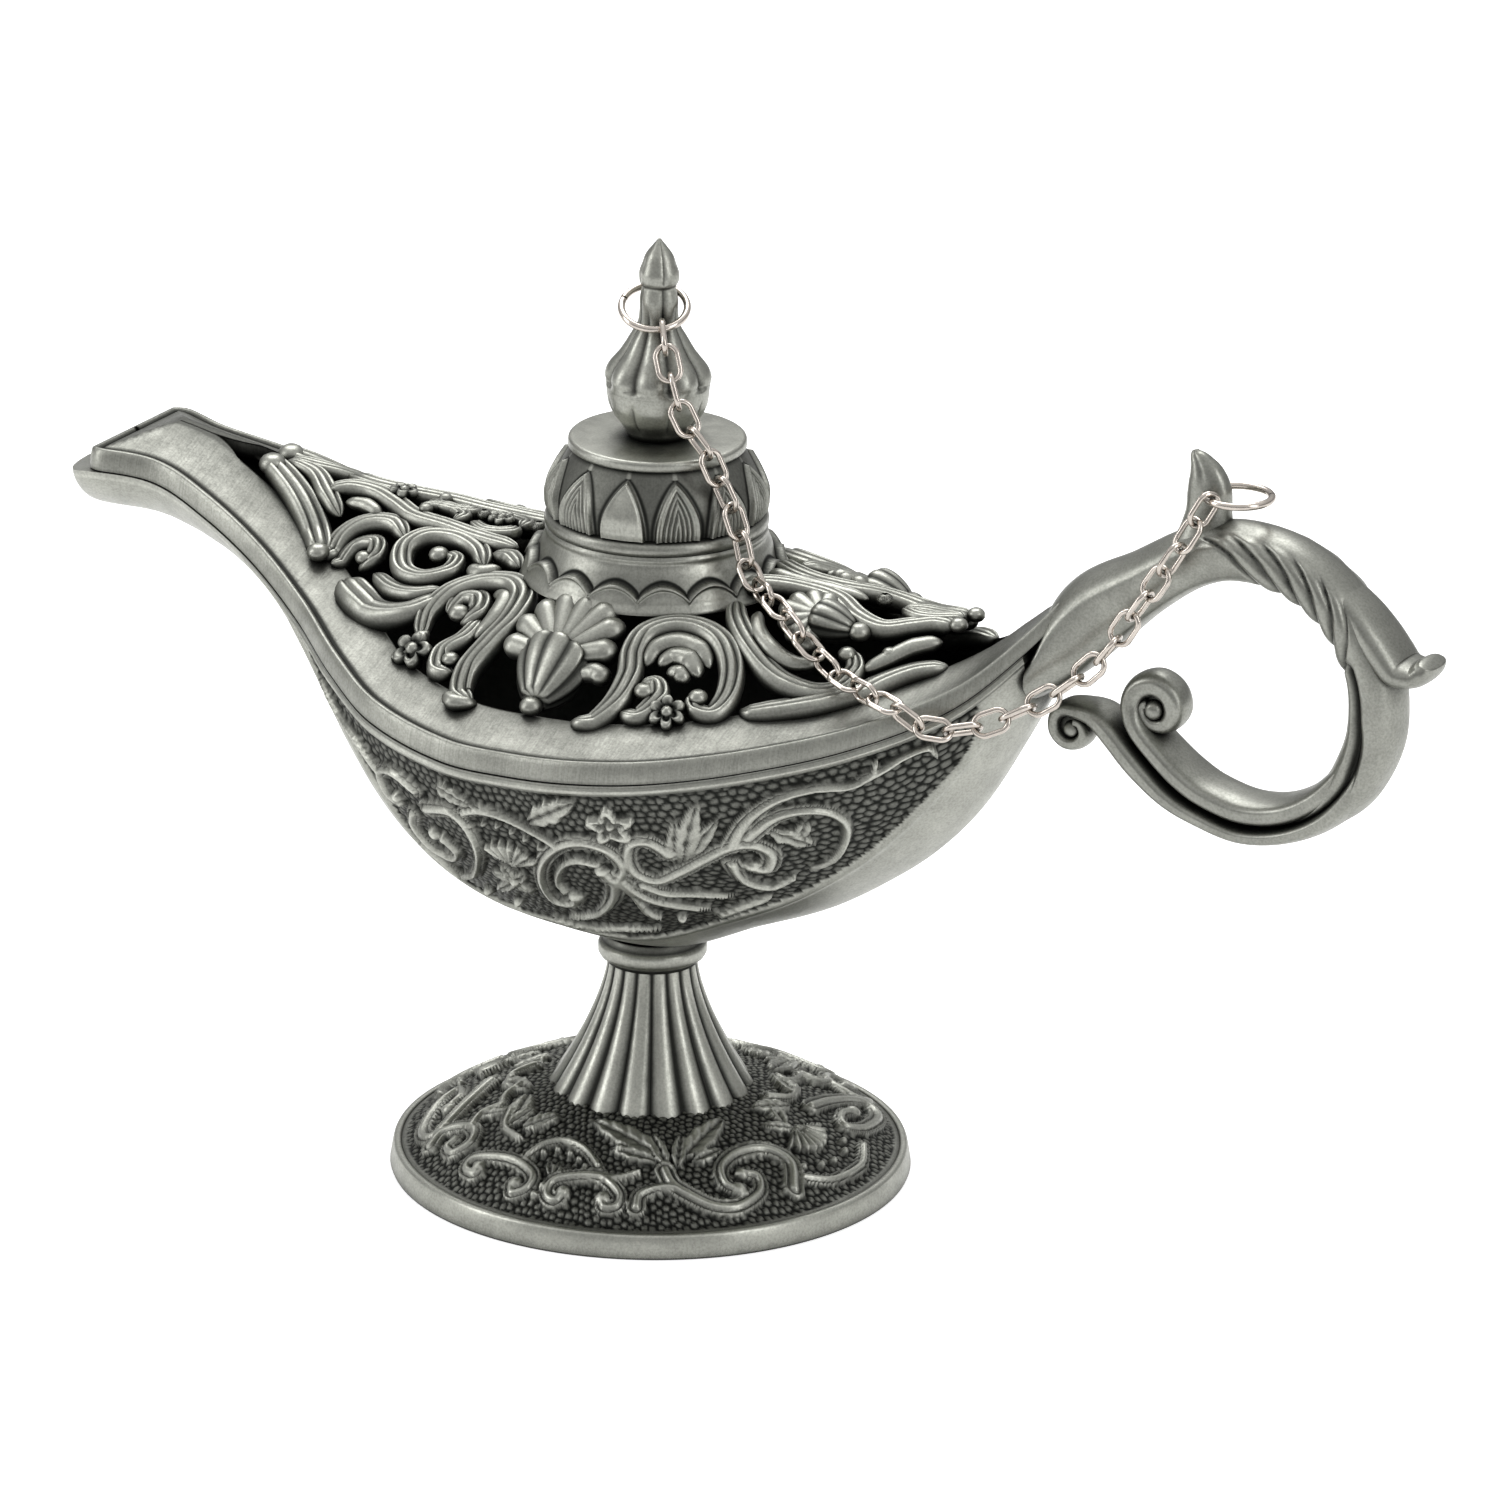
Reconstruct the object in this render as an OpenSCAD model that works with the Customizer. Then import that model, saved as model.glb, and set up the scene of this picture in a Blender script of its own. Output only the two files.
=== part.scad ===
// Genie oil lamp in cast, antiqued pewter-coloured metal.
// Millimetres. The foot stands on z = 0 round the Z axis, the spout points to -X, the handle to +X.

/* [Foot] */
// Diameter of the foot where it stands
foot_d = 42.2; // [36:0.2:50]
// Height of the plain edge of the foot
foot_edge_h = 1.9; // [1.4:0.1:3]
// Height at which the flutes of the stem begin
flute_base_h = 7.3; // [6:0.1:9]
// Radius of the stem where the flutes begin
flute_base_r = 8.4; // [7:0.1:10]
// Number of flutes round the stem
flute_count = 18; // [12:1:24]
// Height of the rounded flutes above their grooves
flute_depth = 0.5; // [0.2:0.05:0.8]
// Radius of the stem at its narrowest
stem_r = 3.6; // [3:0.1:4.5]
// Radius of the collar on top of the stem
collar_r = 4.4; // [3.8:0.1:5.5]
// Height of the collar on top of the stem
collar_h = 2.4; // [1.6:0.1:3.5]
// Height of the foot from the table to the seat of the bowl
foot_h = 20; // [16:0.1:24]

/* [Bowl] */
// Thickness of the cast walls
wall = 1.5; // [1.2:0.1:2.2]
// Half width of the mouth beside the foot's axis
mouth_half_w = 22.6; // [20:0.1:26]
// Height of the mouth's ridge above the seat of the bowl, beside the foot's axis
mouth_h = 22.1; // [20:0.1:27]
// How far the lip of the spout runs in front of the axis
spout_reach = 53.5; // [51:0.1:58]
// Where the bowl ends and the root of the handle begins
tail_x = 36; // [34:0.1:37]
// Radius of the screw boss inside the bowl
boss_r = 3.4; // [3:0.1:4.5]
// Height of the screw boss over the floor of the bowl
boss_h = 4.5; // [3:0.1:7]

/* [Lid] */
// Height of the plain edge round the lid
edge_h = 1.7; // [1.3:0.1:2.3]
// Width of the broad brushed band inside the edge
band_w = 4.7; // [3.8:0.1:5.4]
// Rise of the broad band from its groove to its inner edge
band_rise = 1.7; // [1:0.1:2.2]
// Thickness of the band
band_t = 1.3; // [1:0.1:1.8]
// Gap between the lid and the rim that it rests on
lid_gap = 0.1; // [0.05:0.05:0.3]
// Radius of the scalloped collar that carries the dome
scallop_r = 10.9; // [10:0.1:12]
// Number of scallops round the collar
scallop_count = 16; // [12:1:20]
// Height of the joint between collar and dome above the ridge of the mouth
dome_joint_h = 12.6; // [11:0.1:15]
// Thickness of the plate that the dome is screwed to
plate_t = 1.6; // [1.2:0.1:2.4]
// Radius of the strands of the openwork
strand_r = 1.05; // [0.8:0.05:1.3]

/* [Dome and finial] */
// Radius of the dome at its bottom bead
dome_r = 8.9; // [8:0.1:9.5]
// Height of the dome from its joint to the top of the disc
dome_h = 7.3; // [6:0.1:9]
// Radius of the disc on top of the dome
disc_r = 7.1; // [6.5:0.1:7.8]
// Thickness of the disc
disc_t = 0.9; // [0.6:0.1:1.4]
// Height of the finial above the disc
finial_h = 16.3; // [14:0.1:20]
// Radius of the bulb of the finial
bulb_r = 4.25; // [3.8:0.05:4.8]
// Radius of the waist where the ring hangs
waist_r = 1.6; // [1.3:0.05:1.9]
// Number of lobes round the bulb
lobe_count = 8; // [6:1:10]

/* [Handle] */
// How far the loop reaches behind the axis
loop_reach = 66.7; // [64:0.1:70]
// Height of the middle of the loop
loop_h = 51.2; // [49:0.1:53]
// Radius of the loop's middle line
loop_r = 10.9; // [10:0.1:12]
// Thickness of the loop seen from the side
loop_t = 4.3; // [3.4:0.1:5]
// Thickness of the loop from side to side
loop_depth = 5.4; // [4:0.1:6.5]
// Height of the horn above the loop
horn_h = 5.6; // [4.5:0.1:7]
// Diameter of the hole through the root of the horn
horn_hole_d = 1.5; // [1.4:0.05:1.7]

/* [Screws] */
// Diameter of both screws
screw_d = 3; // [2.5:0.1:3.2]
// Clearance round a screw, on the radius
screw_gap = 0.08; // [0.03:0.01:0.1]
// Diameter of the screw heads
head_d = 5.6; // [5:0.1:6]
// Height of the screw heads
head_h = 2; // [1.5:0.1:2.4]
// Outer diameter of the washers
washer_d = 6.6; // [6.2:0.1:7.2]
// Thickness of the washers
washer_t = 0.5; // [0.4:0.05:0.8]
// Clearance round a washer in its well
well_gap = 0.3; // [0.2:0.05:0.6]

/* [Chain] */
// Wire of the two jump rings
ring_wire = 0.6; // [0.5:0.05:0.7]
// Outer diameter of the two jump rings
ring_d = 5.8; // [5.6:0.1:6.4]
// Wire of the chain links
link_wire = 0.45; // [0.35:0.05:0.5]
// Outer length of a link
link_l = 3.3; // [3.1:0.05:3.6]
// Outer width of a link
link_w = 2.2; // [2.1:0.05:2.4]
// Play between two linked links
link_play = 0.08; // [0.05:0.01:0.12]
// Space between the chain's middle line and what it lies on
chain_lift = 1.5; // [1.4:0.05:2]

/* [Hidden] */
$fn = 48;
pewter = [0.56, 0.57, 0.54];
dark_pewter = [0.45, 0.46, 0.44];
nickel = [0.78, 0.74, 0.71];

// Smooth value at x through keys [[x, value], ...]
function slope(k, i) = let(a = max(i - 1, 0), b = min(i + 1, len(k) - 1))
    (k[b][1] - k[a][1]) / (k[b][0] - k[a][0]);
function seg(k, x, i = 0) = i >= len(k) - 2 || x < k[i + 1][0] ? i : seg(k, x, i + 1);
function key(k, x) = let(i = seg(k, x), h = k[i + 1][0] - k[i][0], t = min(1, max(0, (x - k[i][0]) / h)),
    a = k[i][1], b = k[i + 1][1], p = slope(k, i) * h, q = slope(k, i + 1) * h)
    a * (2 * t ^ 3 - 3 * t ^ 2 + 1) + p * (t ^ 3 - 2 * t ^ 2 + t) + b * (3 * t ^ 2 - 2 * t ^ 3)
    + q * (t ^ 3 - t ^ 2);

// Plan and height of the lid's ridge line along x
seat_z = foot_h;
ridge_z = seat_z + mouth_h;
tip_x = -spout_reach + 3.9;
lid_tail_x = tail_x + 3.6;
plan = [[-spout_reach, 5.2], [tip_x, 6.5], [-44, 5.3], [-38, 6.8], [-32, 8.7], [-26, 11.8], [-20, 16.3],
    [-14, mouth_half_w - 2.6], [-6, mouth_half_w - 0.2], [0, mouth_half_w], [6, mouth_half_w - 0.1],
    [12, mouth_half_w - 1.6], [18, 16.9], [25, 12], [31.5, 7.6], [tail_x, 4.4], [lid_tail_x, 0.8]];
height = [[-spout_reach, 10.6], [tip_x, 11.7], [-44, 11.3], [-38, 9.8], [-32, 7.4], [-26, 4.8],
    [-20, 2.7], [-14, 1], [-6, 0], [0, 0], [6, 0.5], [12, 1.2], [18, 2], [25, 3.8], [31.5, 7],
    [tail_x, 11.4], [lid_tail_x, 16.2]];
function half_w(x) = key(plan, x);
function rim_z(x) = ridge_z + key(height, x);
function lean(x) = let(s = (half_w(x + 0.5) - half_w(x - 0.5))) sqrt(1 + s * s);

// Underside of the bowl along x, above its seat
keel = [[-spout_reach, 27.1], [-50, 27.3], [-46, 27.3], [-42, 26.5], [-38.5, 25.7], [-35.5, 24.8],
    [-32.5, 23.3], [-29.5, 20.7], [-26, 15.3], [-22, 9.6], [-17, 4.1], [-11, 1], [-4, 0], [4, 0],
    [11, 3], [17, 5.6], [22, 8.8], [26, 12], [29.5, 15.9], [32.5, 20.9], [tail_x, 27.3]];
function keel_z(x) = seat_z + key(keel, x);

function flat(l) = [for (a = l) each a];
// Closed skin through rings of equal length; the first and last ring are its ends
module skin(rings) {
    n = len(rings[0]);
    m = len(rings);
    polyhedron(flat(rings), concat([[for (j = [0:n - 1]) j]],
        [for (i = [0:m - 2]) for (j = [0:n - 1]) let(k = (j + 1) % n) each
            [[i * n + j, (i + 1) * n + j, i * n + k], [i * n + k, (i + 1) * n + j, (i + 1) * n + k]]],
        [[for (j = [0:n - 1]) m * n - 1 - j]]), convexity = 10);
}

// The same for rings that turn round a middle, with a middle point in each end
function middle(l) = let(s = [for (i = 0, t = [0, 0, 0]; i <= len(l); t = t + (i < len(l) ? l[i] : [0, 0, 0]), i = i + 1) t])
    s[len(s) - 1] / len(l);
module round_skin(rings) {
    n = len(rings[0]);
    m = len(rings);
    polyhedron(concat(flat(rings), [middle(rings[0]), middle(rings[m - 1])]), concat(
        [for (j = [0:n - 1]) [j, (j + 1) % n, m * n]],
        [for (i = [0:m - 2]) for (j = [0:n - 1]) let(k = (j + 1) % n) each
            [[i * n + j, (i + 1) * n + j, i * n + k], [i * n + k, (i + 1) * n + j, (i + 1) * n + k]]],
        [for (j = [0:n - 1]) [(m - 1) * n + (j + 1) % n, (m - 1) * n + j, m * n + 1]]), convexity = 10);
}

module washer(at) {
    translate([0, 0, at]) difference() {
        cylinder(d = washer_d, h = washer_t);
        translate([0, 0, -1]) cylinder(r = screw_d / 2 + screw_gap, h = washer_t + 2);
    }
}

// Slotted screw with its head below z = at and its shank above
module screw(at, long) {
    difference() {
        union() {
            translate([0, 0, at - head_h]) cylinder(d = head_d, h = head_h);
            translate([0, 0, at - 0.1]) cylinder(d = screw_d, h = long + 0.1);
        }
        translate([-head_d, -0.4, at - head_h - 1]) cube([2 * head_d, 0.8, 1.9]);
    }
}

// Foot
neck_z = foot_h - collar_h;
recess_h = 2;
well_top = recess_h + head_h + washer_t + 0.7;
function stem_at(t) = stem_r + (flute_base_r - stem_r) * (1 - t) ^ 1.5;
module flutes() {
    n = flute_count * 4;
    round_skin([for (i = [0:7]) let(t = i / 7, r = stem_at(t), z = flute_base_h - 0.5 + (neck_z + 0.7 - flute_base_h) * t,
        d = flute_depth * (1 - t * 0.8)) [for (j = [0:n - 1]) let(a = 360 * j / n,
        w = r + d * (abs(sin(flute_count * a / 2)) - 1)) [w * cos(a), w * sin(a), z]]]);
}
module foot() color(pewter) difference() {
    union() {
        rotate_extrude() polygon([[0, 0], [foot_d / 2, 0], [foot_d / 2 - 0.3, foot_edge_h],
            [foot_d / 2 - 0.9, foot_edge_h + 0.25], [foot_d / 2 - 1.4, foot_edge_h],
            [foot_d / 2 - 4.2, foot_edge_h + 2], [foot_d / 2 - 7.2, flute_base_h - 1.9],
            [flute_base_r + 2.4, flute_base_h - 0.8], [flute_base_r, flute_base_h], [0, flute_base_h]]);
        flutes();
        rotate_extrude() polygon([[0, neck_z], [stem_r + 0.03, neck_z], [collar_r, neck_z + 0.7],
            [collar_r, foot_h - 0.5], [collar_r - 0.5, foot_h], [0, foot_h]]);
    }
    translate([0, 0, -1]) cylinder(r = foot_d / 2 - 3.4, h = recess_h + 1);
    translate([0, 0, -1]) cylinder(r = washer_d / 2 + well_gap, h = well_top + 1);
    translate([0, 0, -1]) cylinder(r = screw_d / 2 + screw_gap, h = foot_h + 2);
}
module foot_washer() color(nickel) washer(well_top - washer_t);
module foot_screw() color(nickel) screw(well_top - washer_t, seat_z + wall + boss_h - 1.5 - well_top + washer_t);

// Bowl: one skin holds the outside, the inside and the rim between them
rim_drop = edge_h + lid_gap;
long_xs = [for (x = [tip_x + 3.6:3:tail_x - 0.9]) x];
bowl_xs = concat([-spout_reach, -spout_reach + 0.6, -spout_reach + 1.8, tip_x + 0.6], long_xs, [tail_x]);
side_n = 10;
function round_w(x) = x < -52 ? half_w(x) * sqrt(1 - ((-52 - x) / (spout_reach - 51.4)) ^ 2 * 0.8) : half_w(x);
function bowl_y(x, a, t) = (round_w(x) + 0.55 - t * lean(x)) * sign(cos(a)) * abs(cos(a)) ^ 1.2;
function bowl_z(x, a, top, t) = top - (top - keel_z(x) - t) * abs(sin(a)) ^ 1.3;
function hull_ring(x, top, t) = [for (j = [0:2 * side_n]) let(a = 180 * j / side_n / 2)
    [x, bowl_y(x, a, t), bowl_z(x, a, top, t)]];
// Stations of the inside: those of the outside, crowded together before its two ends
function inner_x(i) = let(m = len(bowl_xs)) i < 3 ? -spout_reach + 4 + 0.12 * i
    : i > m - 3 ? tail_x - 2.2 - 0.3 * (m - 1 - i) : bowl_xs[i];
module bowl_skin() {
    n = 2 * side_n + 1;
    m = len(bowl_xs);
    o = [for (x = bowl_xs) hull_ring(x, rim_z(x) - rim_drop, 0)];
    q = [for (i = [0:m - 1]) let(x = inner_x(i)) hull_ring(x, rim_z(x) - rim_drop, wall)];
    k = m * n;
    polyhedron(concat(flat(o), flat(q)), concat(
        [for (i = [0:m - 2]) for (j = [0:n - 2]) each [[i * n + j, i * n + j + 1, i * n + n + j],
            [i * n + j + 1, i * n + n + j + 1, i * n + n + j]]],
        [for (i = [0:m - 2]) for (j = [0:n - 2]) each
            [[k + i * n + j, k + i * n + n + j, k + i * n + j + 1],
            [k + i * n + j + 1, k + i * n + n + j, k + i * n + n + j + 1]]],
        [for (i = [0:m - 2]) each [[i * n, i * n + n, k + i * n], [k + i * n, i * n + n, k + i * n + n],
            [i * n + n - 1, k + i * n + n - 1, i * n + 2 * n - 1],
            [k + i * n + n - 1, k + i * n + 2 * n - 1, i * n + 2 * n - 1]]],
        [[for (j = [0:n - 1]) n - 1 - j], [for (j = [0:n - 1]) (m - 1) * n + j],
            [for (j = [0:n - 1]) k + j], [for (j = [0:n - 1]) k + m * n - 1 - j],
            [0, k + n - 1, n - 1], [0, k, k + n - 1],
            [(m - 1) * n, k + m * n - 1, k + (m - 1) * n], [(m - 1) * n, m * n - 1, k + m * n - 1]]),
        convexity = 10);
}
module bowl() color(pewter) difference() {
    union() {
        bowl_skin();
        translate([0, 0, seat_z]) cylinder(r = boss_r, h = wall + boss_h);
    }
    translate([0, 0, seat_z - 1]) cylinder(r = screw_d / 2 + screw_gap, h = wall + boss_h);
}

// Lid: the broad band and its edge
lid_xs = concat([tip_x, tip_x + 0.8], long_xs, [tail_x + 1, tail_x + 2.4, lid_tail_x]);
function squeeze(x) = min(1, 0.92 * half_w(x) / (band_w * lean(x)));
function band_ring(x, drop) = let(w = half_w(x), c = squeeze(x), z = rim_z(x),
    top = [[-0.35, -edge_h], [-0.1, -0.15], [0.1, 0], [0.4, -0.02], [0.65, -0.3], [0.95, -0.05],
        [2.6, band_rise * 0.45], [band_w, band_rise]],
    under = [[band_w, band_rise - band_t], [2.6, band_rise * 0.45 - band_t], [1.9, 0.3 - edge_h], [1.8, -edge_h]],
    side = [for (p = concat(top, under)) [w - p[0] * lean(x) * c,
        z + p[1] * (p[0] > 0.5 && p[1] > -edge_h + 0.1 ? c : 1) - (p[1] > -edge_h + 0.4 ? drop : 0)]],
    n = len(top), m = len(side))
    concat([for (i = [0:n - 1]) [x, side[i][0], side[i][1]]], [for (i = [n - 1:-1:0]) [x, -side[i][0], side[i][1]]],
        [for (i = [m - 1:-1:n]) [x, -side[i][0], side[i][1]]], [for (i = [n:m - 1]) [x, side[i][0], side[i][1]]]);

// The opening inside the band, and the crest of the openwork along its middle
open_ends = [-41.5, 33.8];
crest = [[open_ends[0], 12.9], [-30, 11], [-20, 10.2], [-11, 9.8], [0, 11.6], [11, 10.2], [18, 9.8],
    [25, 9.5], [30, 10.4], [open_ends[1], 12.4]];
edge_y = band_w - mouth_half_w;
function open_w(x) = half_w(x) - band_w * lean(x) * squeeze(x);
function open_z(x, y) = let(w = max(open_w(x), 0.3), z = rim_z(x) + band_rise)
    z + (ridge_z + key(crest, x) - z) * (1 - min(1, abs(y) / w) ^ 1.8);
module opening() {
    xs = [for (x = [open_ends[0] + 3.1:2.1:open_ends[1] - 2]) x];
    translate([0, 0, seat_z]) linear_extrude(60) polygon(concat([[open_ends[0], 0]],
        [for (x = xs) [x, -open_w(x) - 0.11]], [[open_ends[1], 0]], [for (i = [len(xs) - 1:-1:0]) [xs[i], open_w(xs[i]) + 0.11]]));
}
module band() difference() {
    skin([for (x = lid_xs) band_ring(x, x < tip_x + 0.5 ? 0.5 : 0)]);
    opening();
}

// Openwork strands: tapered five-sided tubes along smooth plan curves, laid on the lid's surface
function pick(p, i) = p[min(max(i, 0), len(p) - 1)];
function bend(p, i, t) = 0.5 * (2 * pick(p, i) + (pick(p, i + 1) - pick(p, i - 1)) * t
    + (2 * pick(p, i - 1) - 5 * pick(p, i) + 4 * pick(p, i + 1) - pick(p, i + 2)) * t * t
    + (3 * pick(p, i) - pick(p, i - 1) - 3 * pick(p, i + 1) + pick(p, i + 2)) * t ^ 3);
function unit(v) = v / max(norm(v), 1e-6);
module strand(p, r0, r1, per = 2) {
    n = (len(p) - 1) * per;
    c = [for (i = [0:n]) let(q = bend(p, floor(min(i, n - 0.01) / per), min(i, n - 0.01) / per - floor(min(i, n - 0.01) / per)))
        [q[0], q[1], open_z(q[0], q[1])]];
    skin([for (i = [0:n]) let(t = unit(pick(c, i + 1) - pick(c, i - 1)), s = unit(cross([0, 0, 1], t)),
        u = cross(t, s), r = r0 + (r1 - r0) * i / n) [for (j = [0:4]) c[i] + r * (cos(72 * j) * s + sin(72 * j) * u)]]);
}
module bead(x, y, r, up = 0) translate([x, y, open_z(x, y) + up]) sphere(r, $fn = 8);
module rib(a, b, r) hull() {
    bead(a[0], a[1], r * 0.6);
    bead(b[0], b[1], r);
}
module side_of_openwork() {
    strand([[4.6, edge_y - 0.7], [6.3, edge_y + 1.9], [5.8, -12.5], [7.6, -9.6], [11, -9.2], [13.9, -10.8], [13.4, -13.2]], 0.7, 1.1);
    strand([[10.8, -13.6], [10, -16.2], [7.6, -16.4], [6.2, -14.6]], 1.1, 0.7);
    strand([[-11.6, -10.8], [-13.8, -9.2], [-11.6, -7], [-8, -7.2], [-5.8, -10.2], [-7.8, -14], [-7.2, edge_y - 0.3]], 1.2, 0.8);
    strand([[-23.4, -9], [-19.4, -11], [-15, -11.8], [-12.2, -10]], 1.4, 0.8);
    strand([[-13.4, -5], [-16, -3.6], [-19.6, -5], [-19, -8], [-15.6, -8.6], [-12.4, -7.9]], 0.8, 0.85);
    strand([[-27.6, -6.8], [-26.3, -4.1], [-22.8, -3.4], [-19.4, -5.1]], 1, 0.8);
    strand([[-37.5, -2.6], [-33, -2], [-29.5, -3.6], [-26.4, -6.4]], 0.9, 1.2);
    strand([[-30, -2.6], [-27.4, -0.6], [-24, -0.9], [-21, -2.6], [-16, -3.2], [-9.5, -2.6]], 0.8, 0.9);
    strand([[9.4, -5.6], [13, -8.4], [17, -10.2], [21.6, -9.2]], 0.9, 1.3);
    strand([[19.6, -10.6], [23.6, -6.6], [28, -3.6], [32.4, -2]], 1.1, 0.7);
    strand([[9.4, -1.6], [14, -0.8], [19, -0.8], [23, -2.4], [27, -1], [32.6, -1.4]], 1, 0.7);
    strand([[21.2, -4.5], [24.5, -5.7], [26.4, -5.5]], 0.9, 1);
    strand([[-13.3, -12.3], [-12.3, -14.5], [-13.5, -16.6]], 0.62, 0.72);
    for (p = [[-6.4, -12.4], [-5, -9.8], [-2.4, -8.8], [0.4, -8.8], [3, -9.8], [4.8, -12.6]]) rib([-0.8, -14.4], p, 0.85);
    for (k = [0:5]) rib([17.5, -4.6], [17.5 - 4.6 * sin(25 + 25 * k), -4.6 - 4 * cos(25 + 25 * k)], 0.75);
    hull() {
        bead(-0.6, -14.2, 2.4, -0.6);
        bead(-1, edge_y + 0.7, 1.2, -0.2);
    }
    hull() {
        bead(18, -4.4, 2, -0.4);
        bead(21.4, -4.2, 1, 0);
    }
    bead(-1.2, edge_y - 0.3, 0.9);
    bead(12.6, -14.8, 1.2);
    bead(-13.5, -16.9, 1.25);
    bead(11, -10.9, 1.2);
    bead(-28, -7, 1.1);
}

// Scalloped collar round the dome, hollow below
joint_z = ridge_z + dome_joint_h;
module collar() {
    n = scallop_count * 4;
    lip = scallop_r - dome_r;
    rotate_extrude() polygon([[dome_r - 0.6, joint_z - 4.4], [scallop_r - 0.7, joint_z - 4], [dome_r + lip * 0.35, joint_z - 1.6],
        [dome_r + 0.05, joint_z - 0.2], [dome_r - 0.1, joint_z], [0, joint_z], [0, joint_z - plate_t],
        [dome_r - 1.6, joint_z - plate_t], [dome_r - 1.2, joint_z - 4]]);
    difference() {
        skin([for (q = [[0.3, 0], [0, 0.6], [0.12, 1], [0.6, 1.2]]) [for (j = [0:n - 1]) let(a = 360 * j / n - 90,
            up = q[1] > 0.8 ? abs(sin(scallop_count * j * 180 / n)) : 0, r = scallop_r - q[0] - up * lip * 0.32)
            [r * cos(a), r * sin(a), joint_z - 4.1 + q[1] + up]]]);
        translate([0, 0, joint_z - 6]) cylinder(r = dome_r - 1.2, h = 6);
    }
}
module cover() color(pewter) difference() {
    union() {
        band();
        side_of_openwork();
        mirror([0, 1, 0]) side_of_openwork();
        collar();
    }
    translate([0, 0, joint_z - plate_t - 1]) cylinder(r = screw_d / 2 + screw_gap, h = plate_t + 2);
}

// Dome with its ring of petals and its disc, a separate casting on the collar
disc_z = joint_z + dome_h;
spigot_h = 2;
module petal() round_skin([for (q = [[1.3, 1.5, 0], [2.2, 1.75, 0.15], [3.4, 1.5, 0.1], [4.4, 0.8, -0.1], [5, 0.2, -0.4]])
    [for (a = [[1, -1], [-1, -1], [-1, 0.2], [-0.5, 0.9], [0.5, 0.9], [1, 0.2]])
        [dome_r - 0.55 - 0.1 * q[0] * q[0] / 2.4 + 0.5 * a[1] + q[2], q[1] * a[0], joint_z + q[0]]]]);
module dome_cap() color(pewter) difference() {
    union() {
        translate([0, 0, joint_z]) rotate_extrude() polygon([[0, 0], [dome_r - 0.15, 0], [dome_r, 0.4],
            [dome_r - 0.1, 0.9], [dome_r - 0.5, 1.2], [dome_r - 0.3, 1.7], [dome_r - 0.3, 2.6], [dome_r - 0.7, 3.8],
            [dome_r - 1.3, 5.2], [disc_r - 0.3, dome_h - disc_t - 0.2], [disc_r, dome_h - disc_t],
            [disc_r, dome_h - 0.15], [disc_r - 0.2, dome_h], [0, dome_h]]);
        for (k = [0:11]) rotate(30 * k + 12 - 90) petal();
    }
    translate([0, 0, joint_z - 1]) cylinder(r = screw_d / 2 + screw_gap, h = 5);
    translate([0, 0, disc_z - spigot_h - 0.2]) cylinder(r = waist_r + screw_gap, h = spigot_h + 1);
}
plate_z = joint_z - plate_t;
module dome_washer() color(nickel) washer(plate_z - washer_t);
module dome_screw() color(nickel) screw(plate_z - washer_t, washer_t + plate_t + 3.6);

// Finial: lobed bulb, slender waist and pointed bud, with a spigot in the dome
top = [[0, 2.4], [0.04, 2.5], [0.1, bulb_r - 1.2], [0.17, bulb_r - 0.35], [0.23, bulb_r - 0.15], [0.34, bulb_r],
    [0.42, bulb_r - 0.7], [0.5, waist_r + 0.75], [0.57, waist_r + 0.05], [0.63, waist_r], [0.7, waist_r - 0.05],
    [0.77, waist_r - 0.1], [0.83, waist_r], [0.9, waist_r - 0.35], [0.96, waist_r - 0.95], [1, 0.12]];
module finial() color(pewter) union() {
    n = lobe_count * 4;
    round_skin([for (i = [0:18]) let(f = i / 18, r = key(top, f), d = f > 0.02 && f < 0.6 ? 0.09 : 0.02)
        [for (j = [0:n - 1]) let(a = 360 * j / n, w = r * (1 - d * (1 - abs(sin(lobe_count * a / 2)))))
            [w * cos(a), w * sin(a), disc_z + finial_h * f]]]);
    translate([0, 0, disc_z - spigot_h]) cylinder(r = waist_r, h = spigot_h + 1);
}

// Handle: neck, horn, loop, leaf and two scrolls in the lamp's middle plane
loop_x = loop_reach - loop_t / 2 - loop_r;
root_z = (keel_z(tail_x) + rim_z(tail_x) - rim_drop) / 2;
root_t = rim_z(tail_x) - rim_drop - keel_z(tail_x) - 0.1;
horn_x = loop_x - 4.3;
horn_z = loop_h + loop_r + loop_t / 2 + 2.05;
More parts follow.
